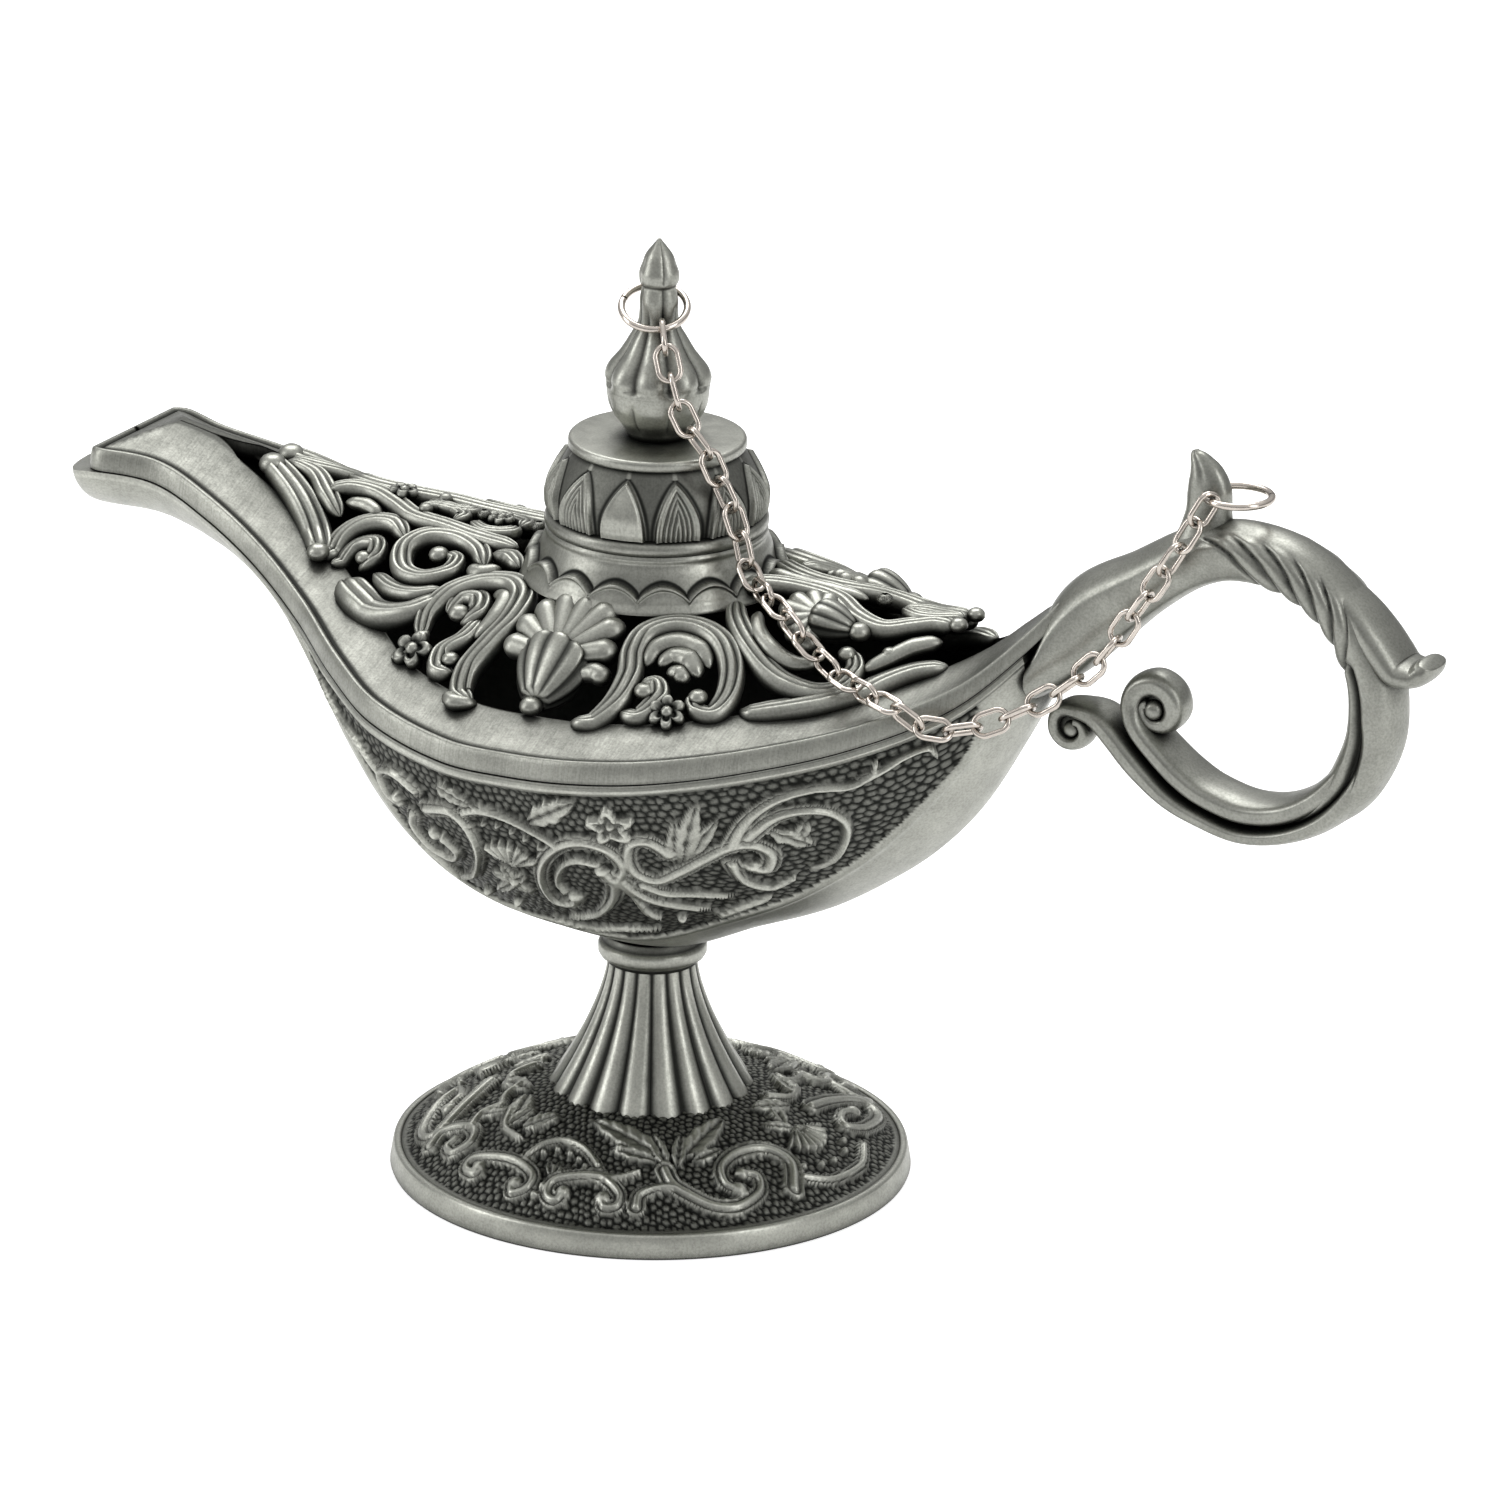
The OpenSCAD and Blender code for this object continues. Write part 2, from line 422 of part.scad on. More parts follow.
// Rounded bar through points [x, z, thickness, depth]
module bar(p, per = 2, first = undef) {
    n = (len(p) - 1) * per;
    c = [for (i = [0:n]) let(k = floor(min(i, n - 0.01) / per)) bend(p, k, min(i, n - 0.01) / per - k)];
    skin([for (i = [0:n]) let(a = pick(c, i - 1), b = pick(c, i + 1),
        t = i == 0 && !is_undef(first) ? first : unit([b[0] - a[0], b[1] - a[1]])) [for (j = [0:9]) let(
            u = cos(36 * j) * c[i][2] / 2, v = -sin(36 * j) * c[i][3] / 2)
            [c[i][0] - t[1] * u, v, c[i][1] + t[0] * u]]]);
}
function arc(a, r = loop_r) = [loop_x + r * cos(a), loop_h + r * sin(a)];
function at_arc(a, t, d) = concat(arc(a), [t, d]);
module handle() color(pewter) difference() {
    union() {
        bar([[tail_x, root_z, root_t, 2 * half_w(tail_x) + 1], [tail_x + 3.8, root_z + 5, 6.4, 7.4],
            [tail_x + 8.4, root_z + 8.6, 5.2, 6], at_arc(118, loop_t + 0.5, loop_depth), at_arc(96, loop_t + 0.4, loop_depth),
            at_arc(70, loop_t, loop_depth), at_arc(44, loop_t - 0.3, loop_depth), at_arc(18, loop_t - 0.2, loop_depth),
            at_arc(-8, loop_t, loop_depth), at_arc(-34, loop_t - 0.3, loop_depth), at_arc(-60, loop_t - 0.6, loop_depth),
            at_arc(-86, loop_t - 0.8, loop_depth), at_arc(-110, loop_t - 0.9, loop_depth),
            [loop_x - 7.6, loop_h - 7.2, loop_t - 1.6, loop_depth - 0.6], [loop_x - 10.4, loop_h - 4.9, 2, 4],
            [loop_x - 13.2, loop_h - 3.2, 1.7, 3.6], [loop_x - 16, loop_h - 3.6, 1.5, 3.4]], 2, [1, 0]);
        bar([[loop_x - 4.6, loop_h - 8.4, 1.8, 4], [loop_x - 7.8, loop_h - 5.6, 1.6, 3.6], [loop_x - 9.6, loop_h - 3.4, 1.5, 3.4],
            [loop_x - 10.6, loop_h - 2, 1.4, 3.2]]);
        for (q = [[-8.3, -3.2, 2.6], [-15.5, -6.1, 2.1]]) translate([loop_x + q[0], 0, loop_h + q[1]]) rotate([90, 0, 0])
            cylinder(r = q[2], h = 3.4, center = true, $fn = 24);
        hull() {
            translate([horn_x - 0.5, 0, horn_z - 3.4]) sphere(1.5, $fn = 12);
            translate([horn_x + 0.7, 0, horn_z - 3.4]) sphere(1.5, $fn = 12);
            translate([horn_x - 0.6, 0, horn_z]) sphere(1.2, $fn = 12);
            translate([horn_x + 0.4, 0, horn_z]) sphere(1.2, $fn = 12);
        }
        hull() {
            translate([horn_x - 0.6, 0, horn_z]) sphere(1.2, $fn = 12);
            translate([horn_x + 0.4, 0, horn_z]) sphere(1.2, $fn = 12);
            translate([horn_x - 1.3, 0, horn_z + horn_h - 2.8]) sphere(0.4, $fn = 8);
        }
        for (k = [0:4]) let(a = arc(78 - 10 * k, loop_r + 1), b = arc(66 - 10 * k, loop_r - 0.6)) for (s = [-1, 1]) hull() {
            translate([a[0], s * (loop_depth / 2 - 0.9), a[1]]) sphere(0.6, $fn = 6);
            translate([b[0], s * (loop_depth / 2 - 0.3), b[1]]) sphere(0.5, $fn = 6);
        }
        hull() {
            translate([arc(24)[0] + 1, 0, arc(24)[1]]) rotate([90, 0, 0]) cylinder(r = 1.2, h = 4, center = true, $fn = 16);
            translate([loop_reach + 1.6, 0, loop_h + 4.1]) rotate([90, 0, 0]) cylinder(r = 0.7, h = 3, center = true, $fn = 16);
        }
    }
    translate([horn_x, 0, horn_z]) rotate([90, 0, 0]) cylinder(d = horn_hole_d, h = 10, center = true);
    translate([0, 10, 0]) rotate([90, 0, 0]) linear_extrude(20) polygon(concat([[tail_x - 1, root_z + 20]],
        [for (x = [tail_x - 1, tail_x, tail_x + 1.2, tail_x + 2.4, lid_tail_x + 0.3]) [x, rim_z(x) - rim_drop]],
        [[lid_tail_x + 0.3, root_z + 20]]));
}

// Jump rings: a true round wire with a fine split
ring_r = (ring_d - ring_wire) / 2;
module jump_ring(split) rotate(split + 2) rotate_extrude(angle = 356) translate([ring_r, 0]) circle(d = ring_wire);
facing = [0.4, -0.75, 0.5];
waist_z = disc_z + finial_h * 0.65;
hang = 25;
finial_at = [-0.15, -0.44, waist_z + 0.1];
horn_at = [horn_x + ring_r - ring_wire * 0.2, 0, horn_z];
module finial_ring() color(nickel) translate(finial_at) rotate(-60) rotate([0, hang, 0]) jump_ring(-110);
module horn_ring() color(nickel) translate(horn_at) jump_ring(30);

// Chain route: from the ring on the finial, over the lid, and hanging free to the ring on the horn
function polar(r, a, z) = [r * cos(a), r * sin(a), z];
function on_lid(x, y) = [x, y, open_z(x, y) + strand_r + chain_lift];
hook_a = 16;
hook = finial_at + ring_r * (cos(hook_a) * [0.5 * cos(hang), -0.866 * cos(hang), -sin(hang)] + sin(hook_a) * [0.866, 0.5, 0]);
route = [hook, hook + [1, -1.3, -1.3], polar(bulb_r + chain_lift - 0.7, -49, disc_z + finial_h * 0.42),
    polar(bulb_r + chain_lift + 0.1, -45, disc_z + finial_h * 0.29), polar(disc_r - 0.5, -38, disc_z + 2.6),
    polar(disc_r + 1.1, -31, disc_z + 0.9), polar(disc_r + 2, -26, disc_z - 1.6), polar(dome_r + chain_lift + 0.2, -23, joint_z + 3),
    polar(dome_r + chain_lift + 0.9, -22, joint_z + 0.4), polar(scallop_r + chain_lift + 0.4, -23, joint_z - 1.5),
    on_lid(14.4, -6.6), on_lid(17.2, -7.9), on_lid(20, -8.8), [23, -9.7, rim_z(23) + band_rise + 1.6],
    [26, -10.8, rim_z(26) + 2], [28.2, -11.3, rim_z(28.2) + 0.7], [30.6, -11, ridge_z + 4.5], [33.4, -9.3, ridge_z + 4.4],
    [36.6, -7.8, ridge_z + 5.7], [40, -6.6, ridge_z + 7.9], [43.4, -5.7, ridge_z + 11.2],
    horn_at + [-6.1, -5.1, -9.2], horn_at + [-3.5, -4.3, -4.8], horn_at + ring_r * [-0.5, -0.866, 0]];
samples = [for (i = [0:len(route) - 2]) for (j = [0:7]) bend(route, i, j / 8), route[len(route) - 1]];
run = [for (i = 0, s = 0; i < len(samples); i = i + 1, s = s + norm(pick(samples, i) - pick(samples, i - 1))) s];
total = run[len(run) - 1];
hook_in = (ring_wire + link_play) / 2;
pitch = link_l - 2 * link_wire - link_play;
links = ceil((total + 2 * hook_in) / pitch);
function find(s, a, b) = b - a <= 1 ? a : let(m = floor((a + b) / 2)) run[m] > s ? find(s, a, m) : find(s, m, b);
function along(s) = let(i = find(s, 0, len(run) - 1)) samples[i] + (samples[i + 1] - samples[i]) * (s - run[i]) / (run[i + 1] - run[i]);
function knot(i) = let(s = (total + 2 * hook_in) * i / links - hook_in)
    s < 0 ? samples[0] + s * unit(samples[1] - samples[0])
    : s > total ? route[len(route) - 1] + (s - total) * unit(samples[len(samples) - 1] - samples[len(samples) - 2])
    : along(s);
function first_link(k) = floor(k * links / 11);
// Middle, length direction and width direction of a link
function frame(i) = let(t = unit(knot(i + 1) - knot(i)), b = unit(cross(t, facing)), w = cross(b, t),
    a = (i % 2 == 0 ? 90 : 0) + 35 * min(1, max(0, min(i - 2, links - 12 - i) / 4))
        + 45 * max(0, (i + 7 - links) / 6))
    [(knot(i) + knot(i + 1)) / 2, t, cos(a) * b + sin(a) * w];
module link() for (s = [0, 180]) rotate([0, s, 0]) {
    translate([0, 0, (link_l - link_w) / 2]) rotate([90, 0, 0]) rotate_extrude(angle = 180)
        translate([(link_w - link_wire) / 2, 0]) circle(d = link_wire);
    translate([(link_w - link_wire) / 2, 0, -(link_l - link_w) / 2]) cylinder(d = link_wire, h = link_l - link_w);
}
module chain(k) color(nickel) for (i = [first_link(k):first_link(k + 1) - 1]) let(f = frame(i), p = f[0], t = f[1],
    x = f[2], y = cross(t, x))
        multmatrix([[x[0], y[0], t[0], p[0]], [x[1], y[1], t[1], p[1]], [x[2], y[2], t[2], p[2]]]) link();
echo(total = total, links = links, pivots = [for (k = [0:11]) knot(first_link(k))]);

foot();
foot_washer();
foot_screw();
bowl();
handle();
cover();
dome_cap();
dome_washer();
dome_screw();
finial();
finial_ring();
horn_ring();
chain(0);  // chain_01
chain(1);  // chain_02
chain(2);  // chain_03
chain(3);  // chain_04
chain(4);  // chain_05
chain(5);  // chain_06
chain(6);  // chain_07
chain(7);  // chain_08
chain(8);  // chain_09
chain(9);  // chain_10
chain(10);  // chain_11
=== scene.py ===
"""Looks of the genie oil lamp: cast pewter with dark patina and painted light and shade, on a plain white
studio ground.
"""
import math

import bpy
import numpy as np
from mathutils import Matrix, Vector


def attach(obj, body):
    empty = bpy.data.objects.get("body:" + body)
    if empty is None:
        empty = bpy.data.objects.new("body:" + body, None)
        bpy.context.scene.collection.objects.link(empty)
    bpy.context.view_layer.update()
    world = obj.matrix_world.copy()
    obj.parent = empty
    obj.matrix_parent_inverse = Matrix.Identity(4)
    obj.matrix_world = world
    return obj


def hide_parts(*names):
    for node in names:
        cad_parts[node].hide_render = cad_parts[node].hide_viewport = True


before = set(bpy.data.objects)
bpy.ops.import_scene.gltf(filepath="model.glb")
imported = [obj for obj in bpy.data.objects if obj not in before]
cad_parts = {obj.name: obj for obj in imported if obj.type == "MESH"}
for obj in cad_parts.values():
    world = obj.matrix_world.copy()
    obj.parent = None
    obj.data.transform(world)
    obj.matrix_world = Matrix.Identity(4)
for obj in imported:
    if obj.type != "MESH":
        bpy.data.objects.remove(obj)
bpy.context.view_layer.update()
MM = 0.001

# The real sizes, in millimetres: the same names as in the part's source
foot_d, foot_edge_h, flute_base_h, flute_base_r, flute_count = 42.2, 1.9, 7.3, 8.4, 18
stem_r, collar_r, collar_h, foot_h = 3.6, 4.4, 2.4, 20.0
wall, mouth_half_w, mouth_h, spout_reach, tail_x = 1.5, 22.6, 22.1, 53.5, 36.0
boss_r, boss_h = 3.4, 4.5
edge_h, band_w, band_rise, band_t, lid_gap = 1.7, 4.7, 1.7, 1.3, 0.1
scallop_r, scallop_count, dome_joint_h, plate_t = 10.9, 16, 12.6, 1.6
dome_r, dome_h, disc_r, disc_t, petal_count = 8.9, 7.3, 7.1, 0.9, 12
finial_h, bulb_r, waist_r, lobe_count = 16.3, 4.25, 1.6, 8
loop_reach, loop_h, loop_r, loop_t, loop_depth = 66.7, 51.2, 10.9, 4.3, 5.4
screw_d, screw_gap, washer_d, washer_t, well_gap, head_h = 3.0, 0.08, 6.6, 0.5, 0.3, 2.0
seat_z = foot_h
ridge_z = seat_z + mouth_h
rim_drop = edge_h + lid_gap
tip_x = -spout_reach + 3.9
lid_tail_x = tail_x + 3.6
joint_z = ridge_z + dome_joint_h
disc_z = joint_z + dome_h

plan = [[-spout_reach, 5.2], [tip_x, 6.5], [-44, 5.3], [-38, 6.8], [-32, 8.7], [-26, 11.8], [-20, 16.3],
        [-14, mouth_half_w - 2.6], [-6, mouth_half_w - 0.2], [0, mouth_half_w], [6, mouth_half_w - 0.1],
        [12, mouth_half_w - 1.6], [18, 16.9], [25, 12], [31.5, 7.6], [tail_x, 4.4], [lid_tail_x, 0.8]]
height = [[-spout_reach, 10.6], [tip_x, 11.7], [-44, 11.3], [-38, 9.8], [-32, 7.4], [-26, 4.8], [-20, 2.7],
          [-14, 1], [-6, 0], [0, 0], [6, 0.5], [12, 1.2], [18, 2], [25, 3.8], [31.5, 7], [tail_x, 11.4],
          [lid_tail_x, 16.2]]
keel = [[-spout_reach, 27.1], [-50, 27.3], [-46, 27.3], [-42, 26.5], [-38.5, 25.7], [-35.5, 24.8],
        [-32.5, 23.3], [-29.5, 20.7], [-26, 15.3], [-22, 9.6], [-17, 4.1], [-11, 1], [-4, 0], [4, 0],
        [11, 3], [17, 5.6], [22, 8.8], [26, 12], [29.5, 15.9], [32.5, 20.9], [tail_x, 27.3]]
open_ends = [-41.5, 33.8]
crest = [[open_ends[0], 12.9], [-30, 11], [-20, 10.2], [-11, 9.8], [0, 11.6], [11, 10.2], [18, 9.8],
         [25, 9.5], [30, 10.4], [open_ends[1], 12.4]]


# Numbers
def key(keys, x):
    """Smooth value at x through keys [[x, value], ...]."""
    k = np.asarray(keys, float)
    x = np.asarray(x, float)
    i = np.clip(np.searchsorted(k[:, 0], x, side="right") - 1, 0, len(k) - 2)
    lo, hi = np.maximum(np.arange(len(k)) - 1, 0), np.minimum(np.arange(len(k)) + 1, len(k) - 1)
    slope = (k[hi, 1] - k[lo, 1]) / (k[hi, 0] - k[lo, 0])
    h = k[i + 1, 0] - k[i, 0]
    t = np.clip((x - k[i, 0]) / h, 0, 1)
    a, b, p, q = k[i, 1], k[i + 1, 1], slope[i] * h, slope[i + 1] * h
    return (a * (2 * t ** 3 - 3 * t ** 2 + 1) + p * (t ** 3 - 2 * t ** 2 + t) + b * (3 * t ** 2 - 2 * t ** 3)
            + q * (t ** 3 - t ** 2))


def step(t):
    """Smooth rise from 0 to 1."""
    t = np.clip(t, 0, 1)
    return t * t * (3 - 2 * t)


def curve(points, per=12):
    """Smooth curve through points, with per samples from one to the next."""
    p = np.asarray(points, float)
    n = len(p) - 1
    t = np.linspace(0, n, n * per + 1)
    i = np.minimum(t.astype(int), n - 1)
    f = (t - i)[:, None]
    a, b, c, d = p[np.clip(i - 1, 0, n)], p[i], p[i + 1], p[np.clip(i + 2, 0, n)]
    return 0.5 * (2 * b + (c - a) * f + (2 * a - 5 * b + 4 * c - d) * f ** 2 + (3 * b - a - 3 * c + d) * f ** 3)


def bump(t, at, width):
    """A smooth hump of height 1 at one place."""
    return np.exp(-((t - at) / width) ** 2)


def circle(count):
    """Angles once round, without the last one, which is the first again."""
    return np.linspace(0, 2 * math.pi, count, endpoint=False)


def wave(angle, lobes, power=1.0):
    """From 0 in the creases to 1 on the lobes round a circle."""
    return np.abs(np.sin(lobes * angle / 2)) ** power


def round_z(r, angle, z):
    """Points at the distance r from the Z axis, with everything spread over one grid."""
    r, angle, z = np.broadcast_arrays(r, angle, z)
    return np.stack([r * np.cos(angle), r * np.sin(angle), z], -1)


def spread(*values):
    """Values of different shape side by side on one grid."""
    return np.stack(np.broadcast_arrays(*values), -1)


def scatter(i, j, k):
    """A fixed number from 0 to 1 for each pair of whole numbers."""
    s = np.sin(i * 127.1 + j * 311.7 + k * 74.7) * 43758.5453
    return s - np.floor(s)


def pebbles(u, v, size):
    """Height from 0 in the cracks to 1 on top of small pebbles that fill a plane."""
    gu, gv = u / size, v / (size * 0.87)
    row, first, second = np.floor(gv), np.full(u.shape, 9.0), np.full(u.shape, 9.0)
    for dr in (-1, 0, 1):
        r = row + dr
        shift = 0.5 * (r % 2)
        col = np.floor(gu - shift)
        for dc in (-1, 0, 1):
            c = col + dc
            px = c + shift + 0.5 + 0.6 * (scatter(c, r, 1) - 0.5)
            py = r + 0.5 + 0.6 * (scatter(c, r, 2) - 0.5)
            d = np.hypot(gu - px, (gv - py) * 0.87)
            second = np.minimum(second, np.maximum(first, d))
            first = np.minimum(first, d)
    return np.sqrt(np.clip((second - first) / 0.6, 0, 1)) * np.clip(1.25 - first, 0.5, 1)


# The bowl's and the lid's surfaces
def half_w(x):
    return key(plan, x)


def rim_z(x):
    return ridge_z + key(height, x)


def lean(x):
    """How much wider a strip of the rim is across the lamp than square to the edge."""
    return np.sqrt(1 + (half_w(x + 0.5) - half_w(x - 0.5)) ** 2)


def keel_z(x):
    return seat_z + key(keel, x)


def round_w(x):
    """Half width of the bowl's rim, rounded off at the tip of the spout."""
    round_x = 50.2
    short = np.clip((-round_x - x) / (spout_reach - round_x), 0, 1)
    return (half_w(x) + 0.5) * np.sqrt(1 - short ** 2 * 0.985) - 0.5


def squeeze(x):
    """Share of the band's width that there is room for."""
    return np.minimum(1, 0.92 * half_w(x) / (band_w * lean(x)))


def open_w(x):
    """Half width inside the band."""
    return half_w(x) - band_w * lean(x) * squeeze(x)


def open_z(x, y):
    """Height of the openwork's crest."""
    x = np.clip(x, open_ends[0], open_ends[1])
    z = rim_z(x) + band_rise
    aside = np.minimum(1, np.abs(y) / np.maximum(open_w(x), 0.3))
    return z + (ridge_z + key(crest, x) - z) * (1 - aside ** 1.8)


# Meshes
def build(name, verts, faces, lift=None, uv=None):
    """A mesh object from points in millimetres, lists of faces with equally many corners, and point values."""
    mesh = bpy.data.meshes.new(name)
    verts = np.asarray(verts, float) * MM
    loops = np.concatenate([f.ravel() for f in faces])
    sizes = np.concatenate([np.full(len(f), f.shape[1]) for f in faces])
    mesh.vertices.add(len(verts))
    mesh.vertices.foreach_set("co", verts.ravel())
    mesh.loops.add(len(loops))
    mesh.loops.foreach_set("vertex_index", loops.astype(np.int32))
    mesh.polygons.add(len(sizes))
    mesh.polygons.foreach_set("loop_start", np.concatenate([[0], np.cumsum(sizes)[:-1]]).astype(np.int32))
    mesh.polygons.foreach_set("use_smooth", np.full(len(sizes), lift is not None))
    mesh.update(calc_edges=True)
    if lift is not None:
        # The point values set the pewter's tone: patina and painted shade where they are low, a painted
        # highlight above 1.
        mesh.attributes.new("lift", "FLOAT", "POINT").data.foreach_set("value", np.asarray(lift, np.float32))
        mesh.uv_layers.new(name="UVMap").data.foreach_set("uv", np.asarray(uv, np.float32)[loops].ravel())
    mesh.validate()
    obj = bpy.data.objects.new(name, mesh)
    bpy.context.scene.collection.objects.link(obj)
    return obj


def grid(rows, cols, wrap=False, flip=False):
    """Quads of a grid of points stored row by row."""
    i, j = np.meshgrid(np.arange(rows - 1), np.arange(cols if wrap else cols - 1), indexing="ij")
    k = (j + 1) % cols
    q = np.stack([i * cols + j, (i + 1) * cols + j, (i + 1) * cols + k, i * cols + k], -1).reshape(-1, 4)
    return q[:, ::-1] if flip else q


class Parts:
    """Grids and fans that together make one mesh."""

    def __init__(self):
        self.v, self.f, self.lift, self.uv, self.n = [], [], [], [], 0

    def add(self, points, faces, lift=1.0, uv=None):
        points = np.asarray(points, float).reshape(-1, 3)
        self.v.append(points)
        self.f += [np.asarray(f) + self.n for f in (faces if isinstance(faces, list) else [faces])]
        self.lift.append(np.broadcast_to(np.asarray(lift, float).ravel(), (len(points),)))
        self.uv.append(np.zeros((len(points), 2)) if uv is None else uv.reshape(-1, 2))
        self.n += len(points)

    def surface(self, p, wrap=False, flip=False, lift=1.0, uv=None):
        """A grid p[row, col, xyz]."""
        self.add(p, grid(p.shape[0], p.shape[1], wrap, flip), lift, uv)

    def turned(self, line, cols, lift=1.0, flip=True, start=(0, 0)):
        """A surface turned round Z from [radius, height] pairs added to a start, with a tone value for each:
        patina and painted shade below 1, painted highlight above.
        """
        angle, (r, z) = circle(cols), (np.array(start) + line).T[:, :, None]
        patina_and_light_values = np.broadcast_arrays(np.reshape(lift, (-1, 1)), r, angle)[0]
        self.surface(round_z(r, angle, z), True, flip, patina_and_light_values, spread(z * 4, angle * r.max()))

    def tube(self, rings, lift=1.0):
        """Closed rings rings[i, j, xyz] with a fan at each end."""
        n, m = rings.shape[:2]
        ends = np.array([rings[0].mean(0), rings[-1].mean(0)])
        points = np.concatenate([rings.reshape(-1, 3), ends])
        j = np.arange(m)
        k = (j + 1) % m
        fan = np.concatenate([np.stack([j, k, np.full(m, n * m)], 1),
                              np.stack([(n - 1) * m + k, (n - 1) * m + j, np.full(m, n * m + 1)], 1)])
        patina_and_light_values = np.ones(len(points))
        if np.size(lift) > 1:
            patina_and_light_values[:n * m] = np.asarray(lift).ravel()
        self.add(points, [grid(n, m, True), fan], patina_and_light_values)

    def other_side(self):
        """The same on the other side of the lamp's middle plane."""
        far = Parts()
        far.v, far.f = [v * [1, -1, 1] for v in self.v], [f[:, ::-1] for f in self.f]
        far.lift, far.uv, far.n = self.lift, self.uv, self.n
        return far

    def both_sides(self):
        """These parts and their mirror image."""
        far = self.other_side()
        far.v, far.f = self.v + far.v, self.f + [f + self.n for f in far.f]
        far.lift, far.uv, far.n = self.lift * 2, self.uv * 2, self.n * 2
        return far

    def object(self, name):
        shapes = {}
        for f in self.f:
            shapes.setdefault(f.shape[1], []).append(f)
        return build(name, np.concatenate(self.v), [np.concatenate(f) for f in shapes.values()],
                     np.concatenate(self.lift), np.concatenate(self.uv))


class Relief:
    """Ornament on a field of points in a plane: heights from 0 on the ground to 1 on top."""

    def __init__(self, u, v):
        self.shape = u.shape
        self.p = np.stack([u.ravel(), v.ravel()], 1).astype(np.float32)
        self.h = np.zeros(len(self.p), np.float32)

    def near(self, c, reach):
        lo, hi = c.min(0) - reach, c.max(0) + reach
        return np.flatnonzero((self.p > lo).all(1) & (self.p < hi).all(1))

    def raise_to(self, i, h):
        self.h[i] = np.maximum(self.h[i], h)

    def stroke(self, points, w0, w1, groove, soft):
        """A ribbon along points, w0 to w1 half wide, with a line cut along each side of its middle."""
        c = curve(points, 14).astype(np.float32)
        w = np.linspace(w0, w1, len(c)).astype(np.float32)
        i = self.near(c, w.max() + 0.1)
        if not len(i):
            return
        d = np.sqrt(((self.p[i][:, None] - c[None]) ** 2).sum(2))
        k = np.argmin(d - w[None], 1)
        d, wk = d[np.arange(len(i)), k], w[k]
        e = d / wk
        h = step((wk - d) / soft) * (0.8 + 0.2 * (1 - e ** 2))
        self.raise_to(i, h - groove * bump(e, 0.5, 0.16) * np.clip((wk - 0.28) / 0.3, 0, 1))

    def ball(self, u, v, r, top=1.1):
        i = self.near(np.array([[u, v]], np.float32), r)
        d = np.hypot(self.p[i, 0] - u, self.p[i, 1] - v) / r
        self.raise_to(i, top * np.sqrt(np.clip(1 - d ** 2, 0, 1)))

    def leaf(self, base, tip, w, veins=4, notch=0.0):
        """A pointed leaf with a middle vein and side veins."""
        base, tip = np.array(base, np.float32), np.array(tip, np.float32)
        a = tip - base
        length = float(np.hypot(*a))
        a = a / length
        i = self.near(np.stack([base, tip]), w + 0.2)
        q = self.p[i] - base
        s, d = q @ a / length, q @ np.array([-a[1], a[0]], np.float32)
        ok = (s > 0) & (s < 1)
        s = np.clip(s, 0.001, 0.999)
        side = w * np.sin(math.pi * s ** 0.8) ** 0.75 * (1 - notch * np.abs(np.sin(veins * math.pi * s)))
        e = np.abs(d) / side
        h = step((side - np.abs(d)) / 0.2) * (0.8 + 0.2 * e)
        h = h - 0.28 * bump(d, 0, 0.14)
        h = h - 0.16 * np.clip(np.sin((s * (veins + 1) - e * 0.8) * 2 * math.pi), 0, 1) * np.clip(1.1 - e, 0, 1)
        self.raise_to(i[ok], (0.95 * h)[ok])

    def star(self, u, v, r):
        """A five-pointed flat flower with a star cut round a ball."""
        i = self.near(np.array([[u, v]], np.float32), r + 0.2)
        x, y = self.p[i, 0] - u, self.p[i, 1] - v
        d, a = np.hypot(x, y), np.arctan2(y, x)
        edge = r * (0.78 + 0.22 * np.cos(5 * (a + math.pi / 2)))
        h = step((edge - d) / 0.22)
        cut = np.clip((0.62 * edge - d) / 0.2, 0, 1) * 0.55
        self.raise_to(i, h - cut)
        self.ball(u, v, 0.42, 1.0)

    def fan(self, u, v, r, turn, open_angle, ribs):
        """A shell of ribs that spread from a point."""
        i = self.near(np.array([[u, v]], np.float32), r + 0.3)
        x, y = self.p[i, 0] - u, self.p[i, 1] - v
        d, a = np.hypot(x, y), np.arctan2(y, x) - math.radians(turn)
        a = (a + math.pi) % (2 * math.pi) - math.pi
        rib = np.abs(np.cos(a / open_angle * ribs * math.pi))
        edge = r * (0.86 + 0.14 * rib)
        self.raise_to(i, step((edge - d) / 0.25) * (0.45 + 0.55 * rib ** 0.6) * (np.abs(a) < open_angle / 2))

    def field(self):
        return self.h.reshape(self.shape)


# Materials
def node(tree, kind, **values):
    """A node with its properties and, for names or _numbers that are its sockets, their values or links."""
    n = tree.nodes.new(kind)
    for k, v in values.items():
        if hasattr(n, k) and not k[0].isupper():
            setattr(n, k, v)
            continue
        s = n.inputs[int(k[1:])] if k[0] == "_" else n.inputs[k.replace("_", " ")]
        if hasattr(v, "links"):
            tree.links.new(v, s)
        else:
            s.default_value = v
    return n


def math_node(tree, op, a, b):
    return node(tree, "ShaderNodeMath", operation=op, _0=a, _1=b).outputs[0]


def times(tree, *values):
    """The product of all values."""
    out = values[0]
    for v in values[1:]:
        out = math_node(tree, "MULTIPLY", out, v)
    return out


def ramp(tree, value, lo, hi, to_lo=0.0, to_hi=1.0):
    return node(tree, "ShaderNodeMapRange", clamp=True, _0=value, _1=lo, _2=hi, _3=to_lo, _4=to_hi).outputs[0]


def noise(tree, vector, scale, detail=3.0, rough=0.55):
    cloud = node(tree, "ShaderNodeTexNoise", Vector=vector, Scale=scale, Detail=detail, Roughness=rough)
    return cloud.outputs["Fac"]


def scaled(tree, vector, scale):
    return node(tree, "ShaderNodeVectorMath", operation="SCALE", _0=vector, Scale=scale).outputs[0]


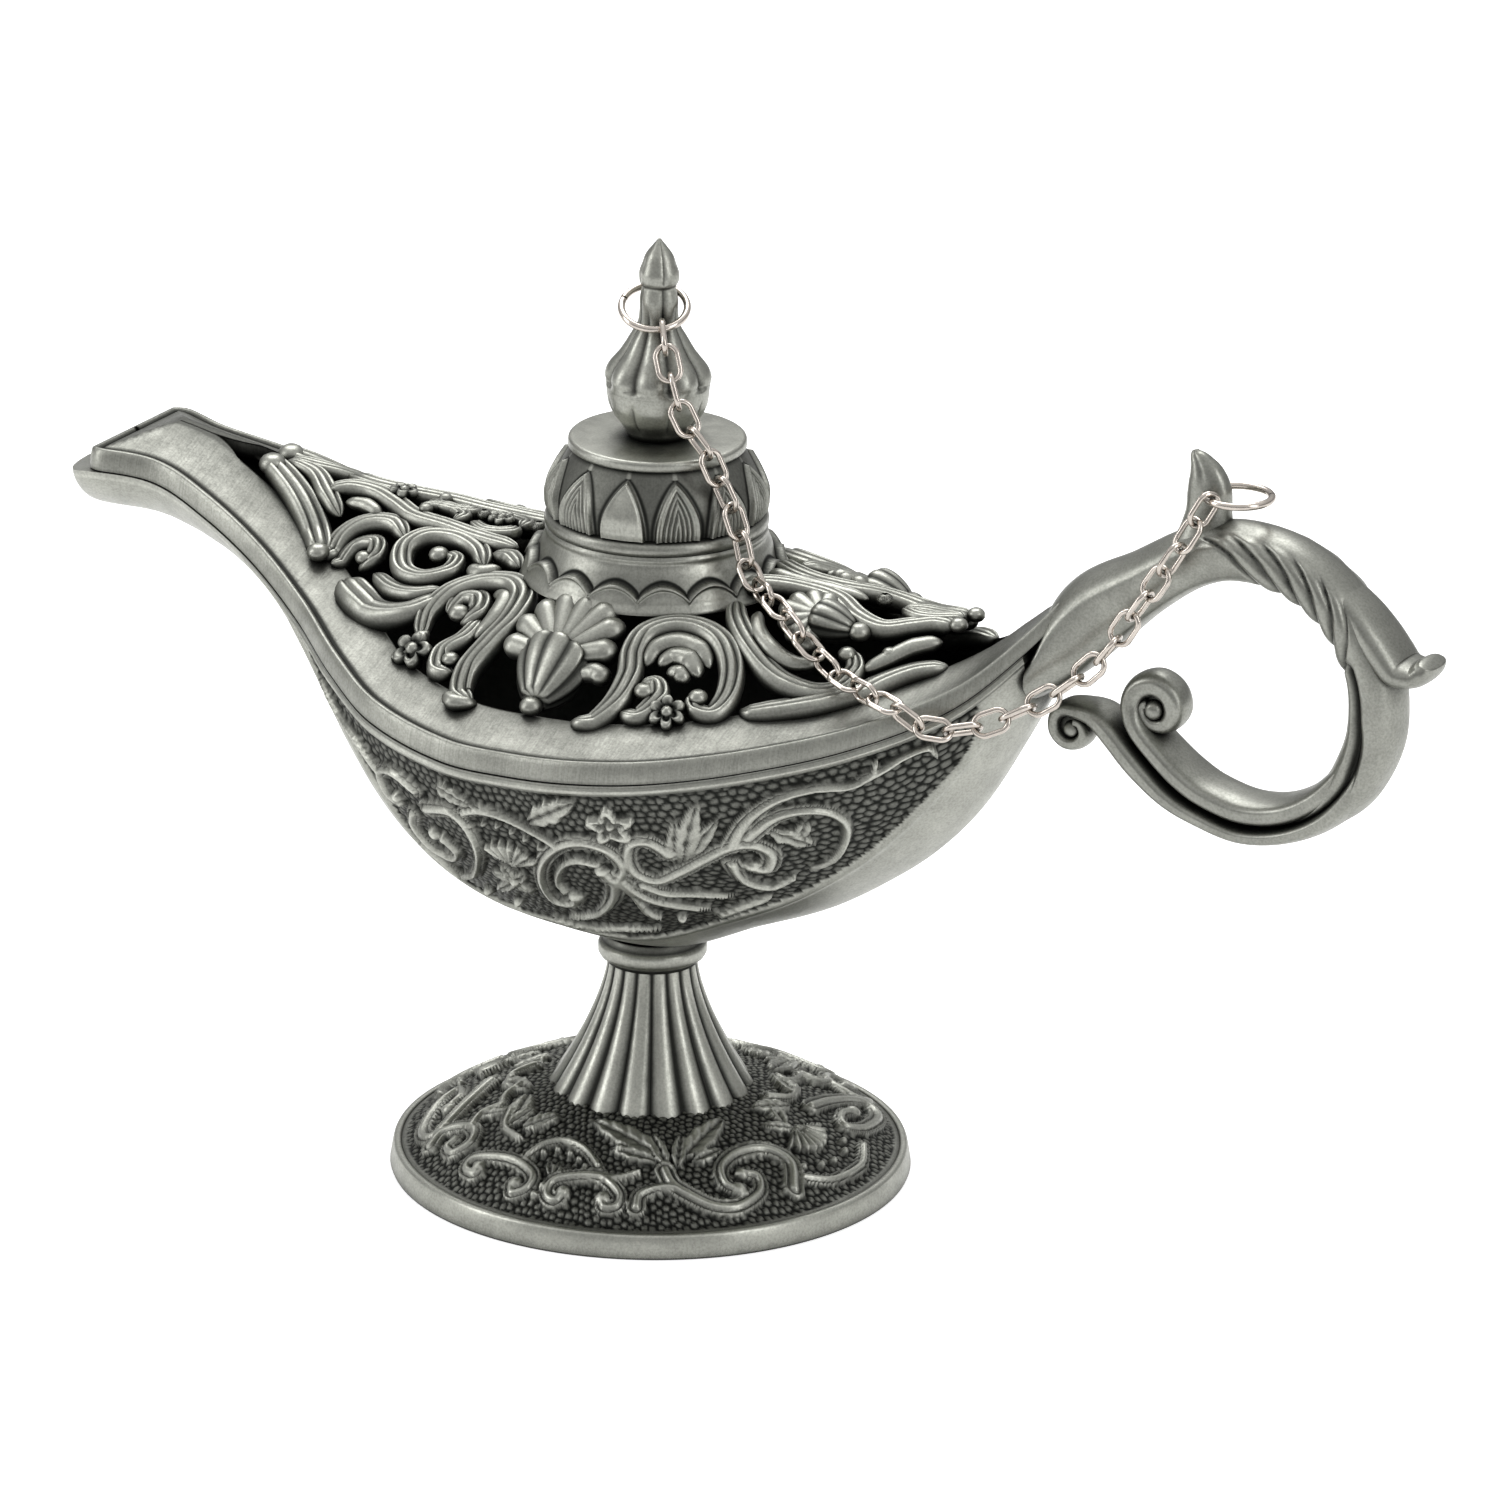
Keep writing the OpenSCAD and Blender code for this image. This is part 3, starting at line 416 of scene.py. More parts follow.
def in_mm(tree):
    return scaled(tree, node(tree, "ShaderNodeTexCoord").outputs["Object"], 1 / MM)


def hollows(tree, reach, lo, hi):
    """0 in recesses narrower than reach, 1 in the open."""
    ao = node(tree, "ShaderNodeAmbientOcclusion", samples=4, Distance=reach * MM)
    return ramp(tree, ao.outputs["AO"], lo, hi)


def mixed(tree, amount, dark, light):
    mix = node(tree, "ShaderNodeMix", data_type="RGBA", _0=amount, _6=(*dark, 1), _7=(*light, 1))
    return mix.outputs[2]


def shader(name):
    """A material without nodes."""
    mat = bpy.data.materials.new(name)
    mat.use_nodes = True
    mat.node_tree.nodes.clear()
    return mat, mat.node_tree


def metal(tree, colour, rough, grain, strength, depth):
    """Bare metal whose skin has a grain of some strength and depth in millimetres."""
    skin = node(tree, "ShaderNodeBump", Strength=strength, Distance=depth * MM, Height=grain)
    bsdf = node(tree, "ShaderNodeBsdfPrincipled", Base_Color=colour, Metallic=1.0, Roughness=rough,
                Normal=skin.outputs[0])
    node(tree, "ShaderNodeOutputMaterial", Surface=bsdf.outputs[0])


def pewter(name, light=(0.44, 0.445, 0.40), brush=0.0, painted_shade_factor=1.0, grain=0.35, rough=0.33, cavity=1.6):
    """Cast metal: bright where it is worn, near black in the recesses from patina and painted shade, with a
    painted highlight where the point values pass 1, dimmed by a factor that paints shade, and fine scratches
    along u.
    """
    mat, tree = shader(name)
    place = in_mm(tree)
    lift = node(tree, "ShaderNodeAttribute", attribute_name="lift").outputs["Fac"]
    # Dark in hollows (ambient occlusion) and where the point values are low: patina and painted shade; the
    # noises are random tone.
    wear_and_shade = times(tree, hollows(tree, cavity, 0.25, 0.82), ramp(tree, lift, 0.05, 0.85),
                 ramp(tree, noise(tree, place, 0.35, 4.0, 0.6), 0.35, 0.7, 0.82, 1.0),
                 ramp(tree, noise(tree, place, 5.0, 2.0, 0.6), 0.32, 0.62, 0.8, 1.0))
    bare_and_unshaded = math_node(tree, "POWER", wear_and_shade, 1.15)
    skin, clean_and_unshaded = noise(tree, place, 7.0, 3.0, 0.65), bare_and_unshaded
    if brush:
        along = node(tree, "ShaderNodeUVMap", uv_map="UVMap").outputs[0]
        stretch = node(tree, "ShaderNodeVectorMath", operation="MULTIPLY", _0=along, _1=(6.0, 0.22, 1.0))
        lines = noise(tree, stretch.outputs[0], 1.0, 4.0, 0.7)
        skin = math_node(tree, "ADD", times(tree, skin, 0.3), times(tree, lines, brush))
        clean_and_unshaded = times(tree, bare_and_unshaded, ramp(tree, lines, 0.36, 0.62, 1 - 0.22 * brush, 1.0))
    # The dark colour stands for patina and painted shade; the light colour is dimmed by the factor as painted
    # shade.
    patina_and_shade = mixed(tree, clean_and_unshaded, (0.017, 0.018, 0.016), [c * painted_shade_factor for c in light])
    # Point values above 1 brighten the colour up to 1.6 times: worn polish and painted highlight.
    polish_and_highlight = ramp(tree, lift, 1.0, 2.0, 1.0, 1.6)
    dull = math_node(tree, "ADD", ramp(tree, bare_and_unshaded, 0, 1, rough + 0.24, rough),
                     ramp(tree, noise(tree, place, 1.1), 0.3, 0.7, -0.04, 0.05))
    metal(tree, scaled(tree, patina_and_shade, polish_and_highlight), dull, skin, grain, 0.03)
    return mat


def nickel(name, light, dark, rough):
    """Bright plated wire or steel with faint drawing marks, a little dirt, and painted shade where wires touch
    or lie close.
    """
    mat, tree = shader(name)
    place = in_mm(tree)
    # Darker in narrow hollows where wires meet: painted shade; the noise is a little dirt.
    clean_and_unshaded = times(tree, hollows(tree, 0.5, 0.2, 0.75),
                  ramp(tree, noise(tree, place, 1.2, 2.0), 0.3, 0.6, 0.85, 1.0))
    dull = ramp(tree, noise(tree, place, 2.0), 0.3, 0.7, rough, rough + 0.08)
    metal(tree, mixed(tree, clean_and_unshaded, dark, light), dull, noise(tree, place, 8.0), 0.05, 0.02)
    return mat


relief_metal = pewter("pewter_relief", grain=0.3)
# The smooth and brushed copies are the same pewter dimmed by a factor: painted shade that tones those parts
# down.
smooth_metal = pewter("pewter_smooth", brush=0.5, painted_shade_factor=0.86)
brushed_metal = pewter("pewter_brushed", grain=0.6, brush=1.0, rough=0.36, painted_shade_factor=0.62)
openwork_metal = pewter("pewter_openwork", grain=0.3, cavity=1.8)
# A near-black copy of the pewter for parts deep inside the bowl: painted shade.
inside_shade_metal = pewter("pewter_inside_painted_shade", light=(0.10, 0.10, 0.095), grain=0.5, rough=0.5)
chain_metal = nickel("nickel_wire", (0.62, 0.565, 0.51), (0.05, 0.045, 0.04), 0.16)
steel_metal = nickel("screw_steel", (0.62, 0.62, 0.61), (0.12, 0.12, 0.12), 0.26)


def dress(obj, material, body, node_name):
    """The object's material, the body it rides on, and the solid it is shown instead of."""
    obj.data.materials.append(material)
    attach(obj, body)
    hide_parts(node_name)


# Bowl
def edge_z(x):
    """Height of the bowl's rim, under the lid."""
    return rim_z(x) - rim_drop


def section(x, t, rows):
    """Points a thickness t inside the bowl, from the rim at -y down to the keel: [x, row, xyz] and the run."""
    a = np.linspace(math.pi, math.pi / 2, 400)[None]
    x = np.asarray(x, float)[:, None]
    y = (round_w(x) + 0.55 - t * lean(x)) * np.sign(np.cos(a)) * np.abs(np.cos(a)) ** 1.2
    z = edge_z(x) - (edge_z(x) - keel_z(x) - t) * np.abs(np.sin(a)) ** 1.3
    run = np.concatenate([np.zeros((len(x), 1)), np.cumsum(np.hypot(np.diff(y), np.diff(z)), 1)], 1)
    out, length = np.zeros((len(x), rows, 3)), np.zeros((len(x), rows))
    for i in range(len(x)):
        s = np.linspace(0, 1, rows) * run[i, -1]
        out[i, :, 0] = x[i, 0]
        out[i, :, 1] = np.interp(s, run[i], y[i])
        out[i, :, 2] = np.interp(s, run[i], z[i])
        length[i] = s
    out[:, -1, 1] = 0
    return out, length


def normals(p):
    du, dv = np.gradient(p, axis=0), np.gradient(p, axis=1)
    n = np.cross(du, dv)
    return n / np.maximum(np.linalg.norm(n, axis=2, keepdims=True), 1e-9)


def panel_relief(x, s):
    """The scrolls, leaves, star and shell on the side of the bowl, in x and the distance s below the rim."""
    r = Relief(x, s)
    for p, w0, w1 in (
            ([[6.8, 9.6], [7.3, 10.7], [8.5, 8.8], [7.9, 6.6], [6, 5.7], [3.8, 6.4], [1.7, 8.6], [0.5, 11.6],
              [0.5, 14.6], [2.2, 14.6], [3, 13.4]], 0.5, 0.5),
            ([[6.5, 8.3], [5, 7.9], [3.4, 8.8], [2.2, 11], [2.3, 12.6]], 0.34, 0.34),
            ([[7.3, 10.7], [6, 13.7], [3.6, 16.4], [0.4, 17.9]], 0.6, 0.15),
            ([[7.3, 10.5], [7.9, 12.6], [7.8, 16], [8.3, 17.6]], 0.5, 0.15),
            ([[7.7, 10.4], [8.6, 13.3], [10.2, 15.3], [12.2, 16.8]], 0.55, 0.15),
            ([[9.2, 11.5], [10.4, 13], [12.5, 13.6], [14.6, 14.8]], 0.55, 0.12),
            ([[12.2, 7.4], [11.8, 6.4], [11, 5.6], [9.8, 6], [9.1, 7.9], [9.2, 9.7], [10.5, 10.9], [12.5, 9.8],
              [14.5, 8.3], [16.3, 7.2], [17.8, 7.4], [18.5, 8.9], [17.8, 10.8], [16.9, 10.2]], 0.5, 0.5),
            ([[15.9, 9.4], [15.8, 11], [16.1, 12.6], [17.2, 13.8], [18.9, 12.8]], 0.45, 0.2),
            ([[16.4, 7.2], [17.9, 4.6], [19.9, 3], [22.3, 2.6], [24.7, 3.2], [26.2, 2.7], [26.6, 1.6]], 0.5,
             0.16),
            ([[25.6, 3], [27, 2.6], [28.4, 2.1], [29.8, 2.2], [30.2, 3.4]], 0.34, 0.16),
            ([[17.6, 6.4], [19.6, 4.7], [21.4, 4.5], [23, 5.3], [23.7, 7], [23.3, 9], [22, 11.2], [20.2, 12.2]],
             0.52, 0.15),
            ([[-8.6, 5.6], [-5.8, 4.7], [-4.5, 6.3], [-4.7, 9.5], [-6.8, 13.6], [-9, 15.6]], 0.55, 0.3),
            ([[-4.4, 4.2], [-2.3, 3.6], [0.4, 4.2], [2.9, 5.6], [3.6, 6.4]], 0.42, 0.3),
            ([[-10.8, 7.4], [-11.6, 9.6], [-10.6, 11.8], [-8.4, 12], [-7.2, 10.4], [-8, 9]], 0.45, 0.35),
            ([[-9.4, 4], [-11.8, 3.4], [-13.8, 4.6], [-13.6, 6.8], [-12, 7]], 0.45, 0.3),
            ([[-14, 4.4], [-16.6, 3.2], [-19.6, 3], [-22, 1.9]], 0.42, 0.15),
            ([[-9.6, 16], [-10.6, 13.8], [-12.4, 12.6]], 0.5, 0.15),
            ([[-1.6, 19.6], [1.4, 20.2], [4.6, 19.4], [7.2, 20.2]], 0.4, 0.15),
            ([[12.4, 18.6], [14.6, 17], [16.6, 15.6]], 0.4, 0.15)):
        r.stroke(p, w0 * 1.75, w1 * 1.6, groove=0.55, soft=0.26)
    for p in ([2.9, 13.4, 0.75], [12.3, 7.2, 0.62], [17, 10.1, 0.62], [6.6, 9.3, 0.7], [-9, 8.9, 0.75],
              [-8, 9, 0.5], [-12.3, 6.4, 0.6], [-7.2, 17.2, 0.5], [-4.4, 17.6, 0.45], [9.6, 18.4, 0.4],
              [-2.4, 12.6, 0.6]):
        r.ball(*p)
    for u, v in ([-4.2, 5.7], [-2.8, 5.1], [-1.5, 5], [-0.3, 5.4], [0.8, 6], [1.9, 6.8]):
        r.ball(u, v, 0.32, 0.9)
    r.fan(-1.6, 9.8, 2.9, -78, 2.2, 7)
    for tip in ([-2.8, 9.8], [-0.9, 11], [-4.6, 11.6], [-4.2, 14.4], [-1.4, 14.6], [-5.8, 16]):
        r.leaf([-2.4, 12.6], tip, 0.62, 2)
    r.leaf([-7, 2.2], [-3.2, 3.4], 0.95, 4, notch=0.25)
    r.leaf([1.6, 3.9], [6.4, 1.4], 1.25, 4, notch=0.2)
    r.leaf([18.9, 5.8], [21.6, 9.2], 0.95, 3, notch=0.3)
    r.leaf([21.4, 5.8], [20.6, 7.9], 0.6, 2)
    for base, tip, w in (([12.4, 9], [13.6, 3.1], 0.7), ([12.9, 8.6], [15.3, 1.6], 0.85),
                         ([13.2, 8.2], [16.4, 3.6], 0.7)):
        r.leaf(base, tip, w, 3)
    r.star(8.7, 3.9, 2.1)
    return r.field()


panel_top = 0.85
panel_edge = [[-27.5, panel_top], [-25, 2.4], [-21, 3.8], [-17.5, 5.6], [-14.5, 9.5], [-13.2, 14],
              [-11.6, 18.6], [-9, 21.4], [-3, 22.4], [4, 23], [9.8, 22.2], [15.8, 18.3], [22.2, 13.6],
              [28.4, 8.1], [32.3, 4.6], [33.2, panel_top]]


def inside_panel(x, s):
    """Distance inside the edge of the relief panel, negative outside."""
    edge = curve(panel_edge, 10)
    low = np.interp(x, edge[:, 0], edge[:, 1], left=-3, right=-3)
    slope = np.interp(x, edge[:-1, 0], np.abs(np.diff(edge[:, 1]) / np.maximum(np.diff(edge[:, 0]), 1e-3)))
    return np.minimum((low - s) / np.sqrt(1 + np.minimum(slope, 3) ** 2), s - panel_top)


def bowl_side():
    """The near half of the bowl, outside with its relief, inside and rim."""
    parts = Parts()
    fine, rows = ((0.15, 176))
    inner_lo, inner_hi = 4 - spout_reach, tail_x - 2.2
    relief_lo, relief_hi = -28, 34
    xs = np.concatenate([-spout_reach + np.array([0, 0.15, 0.4, 0.8, 1.3, 2]), np.arange(-50.9, relief_lo, 0.6),
                         np.arange(relief_lo, relief_hi, fine), np.arange(34.2, tail_x, 0.3), [tail_x]])
    p, s = section(xs, 0, rows)
    x = np.repeat(xs[:, None], rows, 1)
    inside = inside_panel(x, s)
    mask = step(inside / 0.35)
    ornament = np.maximum(panel_relief(x, s), 0)
    ground = pebbles(x, s, 0.78)
    # Stroke tops above 1 get a painted highlight; pebble cracks go dark: patina and painted shade.
    lift = np.maximum(1.6 * ornament ** 2, 0.36 * step((ground - 0.3) / 0.55))
    sunk = mask * (0.82 * ornament + 0.17 * ground * (ornament < 0.25)) - 0.46 * mask
    past_spout = step((x + 38) / 10)
    bead = 0.18 * bump(s, 0.5, 0.17) * past_spout
    border = 0.1 * bump(inside, -0.28, 0.24) * (s > 1.1)
    rise = (sunk + bead + border) * step((xs + spout_reach)[:, None] / 1.5)
    # Inside the panel the tone follows the relief; outside it is 1, with a painted highlight along the bead.
    field = np.where(mask > 0.5, 0.05 + lift * 1.02, 1.0) + 0.4 * (mask < 0.5) * bump(s, 0.5, 0.16)
    # A dark line just under the rim is the lid edge's painted shadow; one along the panel's top edge is painted
    # shade.
    field = field - 0.7 * bump(s, 0.1, 0.13) * past_spout
    field = field - 0.5 * bump(s, 0.82, 0.12) * step((x + 30) / 6)
    shift = normals(p)
    shift[:, -1, 1] = 0
    shift = shift / np.linalg.norm(shift, axis=2, keepdims=True)
    inward = shift[len(xs) // 2, 5, 1] > 0
    out = p - shift * rise[..., None] if inward else p + shift * rise[..., None]
    parts.surface(out, lift=np.clip(field, 0, 2))
    q = section(np.linspace(inner_lo, inner_hi, 90), wall, 24)[0]
    # The inside of the bowl is near black: painted shade.
    parts.surface(q, flip=True, lift=0.12)
    rim = np.array([q[np.abs(q[:, 0, 0] - v).argmin(), 0] for v in xs])
    parts.surface(np.stack([out[:, 0], rim], 1), flip=True, lift=0.8)
    # The strips that close the halves get painted shade at the keel.
    for ring, turn, patina_and_light_level in ((out[0], False, 0.9), (out[-1], True, 0.3), (q[0], True, 0.9),
                              (q[-1], False, 0.3)):
        parts.surface(np.stack([ring, ring * [1, 0, 1]]), flip=turn, lift=patina_and_light_level)
    for a, b, ends, patina_and_light_level in ((out[0, 0], rim[0], (-spout_reach, inner_lo), 1.0),
                              (rim[-1], out[-1, 0], (inner_hi, tail_x), 0.9)):
        middle = np.array([[v, 0, edge_z(v)] for v in ends])
        parts.surface(np.stack([np.stack([a, b]), middle]), flip=True, lift=patina_and_light_level)
    return parts


near = bowl_side()
for name, half in (("bowl_near", near), ("bowl_far", near.other_side())):
    dress(half.object(name), relief_metal, "lamp", "bowl")
boss = Parts()
boss.tube(np.stack([round_z(r, circle(48), z) for r, z in (
    (boss_r, seat_z + 0.3), (boss_r, seat_z + wall + boss_h - 0.3), (boss_r - 0.3, seat_z + wall + boss_h))]))
# The boss inside the bowl is near black: painted shade.
dress(boss.object("bowl_boss"), inside_shade_metal, "lamp", "bowl")


# Foot
def polar(r, deg, u=0, v=0):
    """The plane point at a distance and direction from (u, v)."""
    return [u + r * math.cos(math.radians(deg)), v + r * math.sin(math.radians(deg))]


def foot_relief(u, v):
    """The scrolls, shells and palmettes on the foot, in plan. They repeat once round it."""
    r = Relief(u, v)
    for turn in (0, 180):
        def at(points):
            return [polar(a, b + turn) for a, b in points]

        for p, w0, w1 in (
                ([(15, -100), (13.6, -98), (12.7, -92), (13.1, -83), (14.6, -76)], 0.4, 0.4),
                ([(17.4, -112), (18, -110), (18, -114), (17.1, -115), (16.2, -110), (15.8, -102), (16.5, -94),
                  (17.7, -93), (18.4, -96), (17.7, -98)], 0.5, 0.5),
                ([(17.6, -83), (18.2, -84), (17.8, -87), (16.6, -87), (15.8, -81), (15.6, -74), (16.9, -68),
                  (18, -68), (18.2, -71), (17.5, -72)], 0.5, 0.5),
                ([(15.7, -79), (15.6, -70), (14.9, -63)], 0.45, 0.2),
                ([(18.4, -133), (17.2, -136), (15.8, -133), (15.3, -127), (16.2, -122), (17.5, -123),
                  (17.6, -127), (16.7, -128)], 0.55, 0.45),
                ([(15.4, -129), (14, -134), (12.2, -133)], 0.5, 0.2),
                ([(14.7, -55), (16.1, -53), (17.3, -48), (18.2, -43), (18.4, -37), (17.6, -30), (16.3, -28),
                  (15.7, -32)],
                 0.62, 0.45),
                ([(18, -20), (15.9, -15), (14, -19), (13.7, -29), (14.8, -37), (16.5, -38), (17.2, -34)], 0.62,
                 0.45),
                ([(18, -63), (16.9, -62), (16.3, -55), (16.9, -49)], 0.6, 0.2),
                ([(17.4, -15), (18.4, -7), (18.6, 5), (17.8, 14)], 0.4, 0.4),
                ([(13.1, 20), (14.8, 33), (17.6, 43), (18.5, 37), (17.3, 24), (15.9, 18), (15.4, 25),
                  (16.4, 31)], 0.6, 0.4),
                ([(12.2, -126), (13.6, -118), (13.8, -108)], 0.5, 0.2),
                ([(9.9, 12), (11.4, 20), (11.6, 32)], 0.5, 0.2),
                ([(12.6, 48), (11.8, 40), (10.4, 34)], 0.45, 0.15)):
            r.stroke(at(p), w0 * 1.5, w1 * 1.4, groove=0.5, soft=0.16)
        for a, b in ((14.3, -96), (13.7, -92), (13.8, -87), (14.2, -83), (14.8, -80), (16.6, -12), (17, -6),
                     (17.2, -1), (17.1, 6), (16.5, 10)):
            r.ball(*polar(a, b + turn), 0.36, 0.95)
        for a, b, w in ((17.5, -111, 0.7), (17.6, -97, 0.7), (17.4, -83, 0.7), (17.5, -72, 0.7),
                        (17.1, -35, 0.75), (15.8, -32, 0.6), (18.1, -90, 0.42), (17.3, -89, 0.42),
                        (16.3, 31, 0.7), (12.6, -71, 0.45)):
            r.ball(*polar(a, b + turn), w)
        for base, tip, w in (((16.4, -88), (14.6, -93), 0.5), ((16.4, -88), (14.3, -88), 0.5),
                             ((16.4, -88), (14.8, -83), 0.5), ((13.2, -56), (9.8, -90), 1.25),
                             ((13.4, -48), (9.8, -22), 1.25), ((14.4, -54), (10.4, -60), 0.8),
                             ((14.4, -51), (10.6, -46), 0.8), ((13.8, -57), (12.6, -76), 0.8),
                             ((14, -46), (13, -32), 0.7), ((12.6, -120), (10, -134), 1.1),
                             ((13, -112), (10, -104), 1), ((13.4, -118), (10.4, -119), 0.9),
                             ((11.8, 12), (9.6, -6), 1.0), ((12.8, -2), (10.2, 8), 0.8),
                             ((13.6, 0), (11.6, -12), 0.7), ((12, 24), (9.8, 44), 1.1),
                             ((14.4, 46), (12.2, 54), 0.7)):
            r.leaf(polar(base[0], base[1] + turn), polar(tip[0], tip[1] + turn), w, 4, notch=0.12)
        c = polar(13.2, 0 + turn)
        r.fan(c[0], c[1], 2.9, 0 + turn, 2.3, 8)
    return r.field()


foot = Parts()
half = foot_d / 2
neck_z = foot_h - collar_h
foot_line = [[flute_base_r - 1.1, flute_base_h + 0.1], [flute_base_r, flute_base_h - 0.1], [10.8, 6.55],
             [13.9, 5.4], [16.9, 3.95], [half - 0.95, foot_edge_h + 0.02]]
cols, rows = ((800, 86))
line = curve(foot_line, 30)
run = np.concatenate([[0], np.cumsum(np.hypot(*np.diff(line, axis=0).T))])
at = np.linspace(0, run[-1], rows)
r_at, z_at = np.interp(at, run, line[:, 0]), np.interp(at, run, line[:, 1])
R, T = np.meshgrid(r_at, circle(cols), indexing="ij")
ornament = foot_relief(R * np.cos(T), R * np.sin(T))
ground = pebbles(R * np.cos(T), R * np.sin(T), 0.66)
fade = step((half - 1.1 - R) / 0.4)
rise = fade * (0.8 * ornament + 0.2 * ground * (ornament < 0.25) - 0.32)
steep = (np.gradient(z_at) / np.gradient(r_at))[:, None]
# Stroke tops above 1 get a painted highlight; pebble cracks go dark: patina and painted shade.
lift = np.maximum(1.45 * np.maximum(ornament, 0) ** 2, 0.5 * step((ground - 0.3) / 0.55))
foot.surface(round_z(R - rise * steep / np.sqrt(1 + steep ** 2), T,
                     z_at[:, None] + rise / np.sqrt(1 + steep ** 2)),
             wrap=True, lift=np.clip(np.where(fade > 0.5, lift, 0.5), 0, 2))

# Rim and underside, then the well of the screw
hollow_h, hollow_r, rest_w, spare = 2, 5.2, 3.4, 0.7
# A painted highlight along the rim's top edge and side, painted shade on the underside and in the hollow.
foot.turned([[-0.96, foot_edge_h - 0.02], [-0.9, foot_edge_h + 0.1], [-0.78, foot_edge_h + 0.18],
             [-0.5, foot_edge_h + 0.16], [-0.36, foot_edge_h + 0.07], [-0.29, foot_edge_h - 0.08],
             [-0.2, foot_edge_h - 0.5], [-0.02, 0.25], [-0.1, 0.06], [-0.3, 0], [-rest_w, 0],
             [-rest_w, hollow_h], [hollow_r - half, hollow_h]], 240,
            [0.35, 0.7, 1.2, 1.3, 1.3, 1.2, 1.2, 1.1, 0.8, 0.5, 0.3, 0.15, 0.15], flip=False, start=(half, 0))
well_r, hole_r = washer_d / 2 + well_gap, screw_d / 2 + screw_gap
well_top = hollow_h + head_h + washer_t + spare
# The screw's well is near black: painted shade.
foot.turned([[hollow_r, hollow_h], [well_r, hollow_h], [well_r, well_top], [hole_r, well_top], [hole_r, foot_h],
             [collar_r - 0.5, foot_h]], 120, 0.15, flip=False)

# Fluted stem and its collar
angle = circle(flute_count * 16)
t = np.linspace(-0.06, 1, 56)[:, None]
up = np.clip(t, 0, 1)
flute = wave(angle, flute_count, 0.75)
stem = stem_r + (flute_base_r - stem_r) * (1 - up) ** 1.5 + 0.62 * (1 - up * 0.72) * (flute - 1)
stem = stem - (1 - step((t + 0.06) / 0.09)) * 0.5 * (1 - flute * 0.4)
# Flute crests get a painted highlight and their hollows go dark: patina and painted shade.
foot.surface(round_z(stem, angle, flute_base_h - 0.5 + (neck_z + 0.7 - flute_base_h) * t), wrap=True, flip=True,
             lift=np.clip(0.05 + 1.35 * flute ** 2 + 0 * t, 0, 1.35))
# The collar is darker where it meets the stem and in its groove: painted shade with patina.
foot.turned([[stem_r - 0.4, neck_z - 0.1], [stem_r + 0.1, neck_z], [stem_r + 0.12, neck_z + 0.2],
             [collar_r - 0.2, neck_z + 0.5], [collar_r - 0.02, neck_z + 0.8], [collar_r, neck_z + 1.4],
             [collar_r - 0.1, foot_h - 0.75], [collar_r - 0.35, foot_h - 0.6], [collar_r - 0.35, foot_h - 0.4],
             [collar_r - 0.5, foot_h - 0.1], [collar_r - 0.55, foot_h]], 120,
            [0.1, 0.1, 0.2, 0.9, 1, 1, 0.9, 0.2, 0.3, 0.7, 0.3])
dress(foot.object("foot_casting"), relief_metal, "lamp", "foot")

# Lid: the band with its ridge, groove and broad brushed slope
# The third number of each entry sets the tone across the band: a painted highlight on the outer face and ridge,
# dark in the groove, and painted shade growing over the slope towards the openwork.
across = [(-0.42, -1.7, 0.7), (-0.4, -1.45, 1.8), (-0.33, -0.95, 2), (-0.2, -0.42, 2), (-0.1, -0.14, 2),
          (0, -0.02, 1.8), (0.12, 0.02, 1.4), (0.26, 0.01, 1), (0.38, -0.06, 0.9), (0.47, -0.2, 0.35),
          (0.56, -0.3, 0.06), (0.68, -0.3, 0.06), (0.8, -0.18, 0.35), (0.92, -0.05, 0.9), (1.1, 0.03, 1),
          (1.6, 0.22, 1.1), (2.2, 0.5, 1), (2.9, 0.86, 0.9), (3.6, 1.22, 0.76), (4.2, 1.5, 0.64),
          (4.55, 1.64, 0.56), (band_w, 1.68, 0.5)]
offset, rise_at, band_patina_and_light = (np.array(a) for a in zip(*across))


def inner_w(x):
    """Half width of the opening, which comes to a point at both ends."""
    w = open_w(x)
    a = np.clip((x - open_ends[0]) / 3.1, 0, 1)
    b = np.clip((open_ends[1] - x) / 2.0, 0, 1)
    return w * a * b


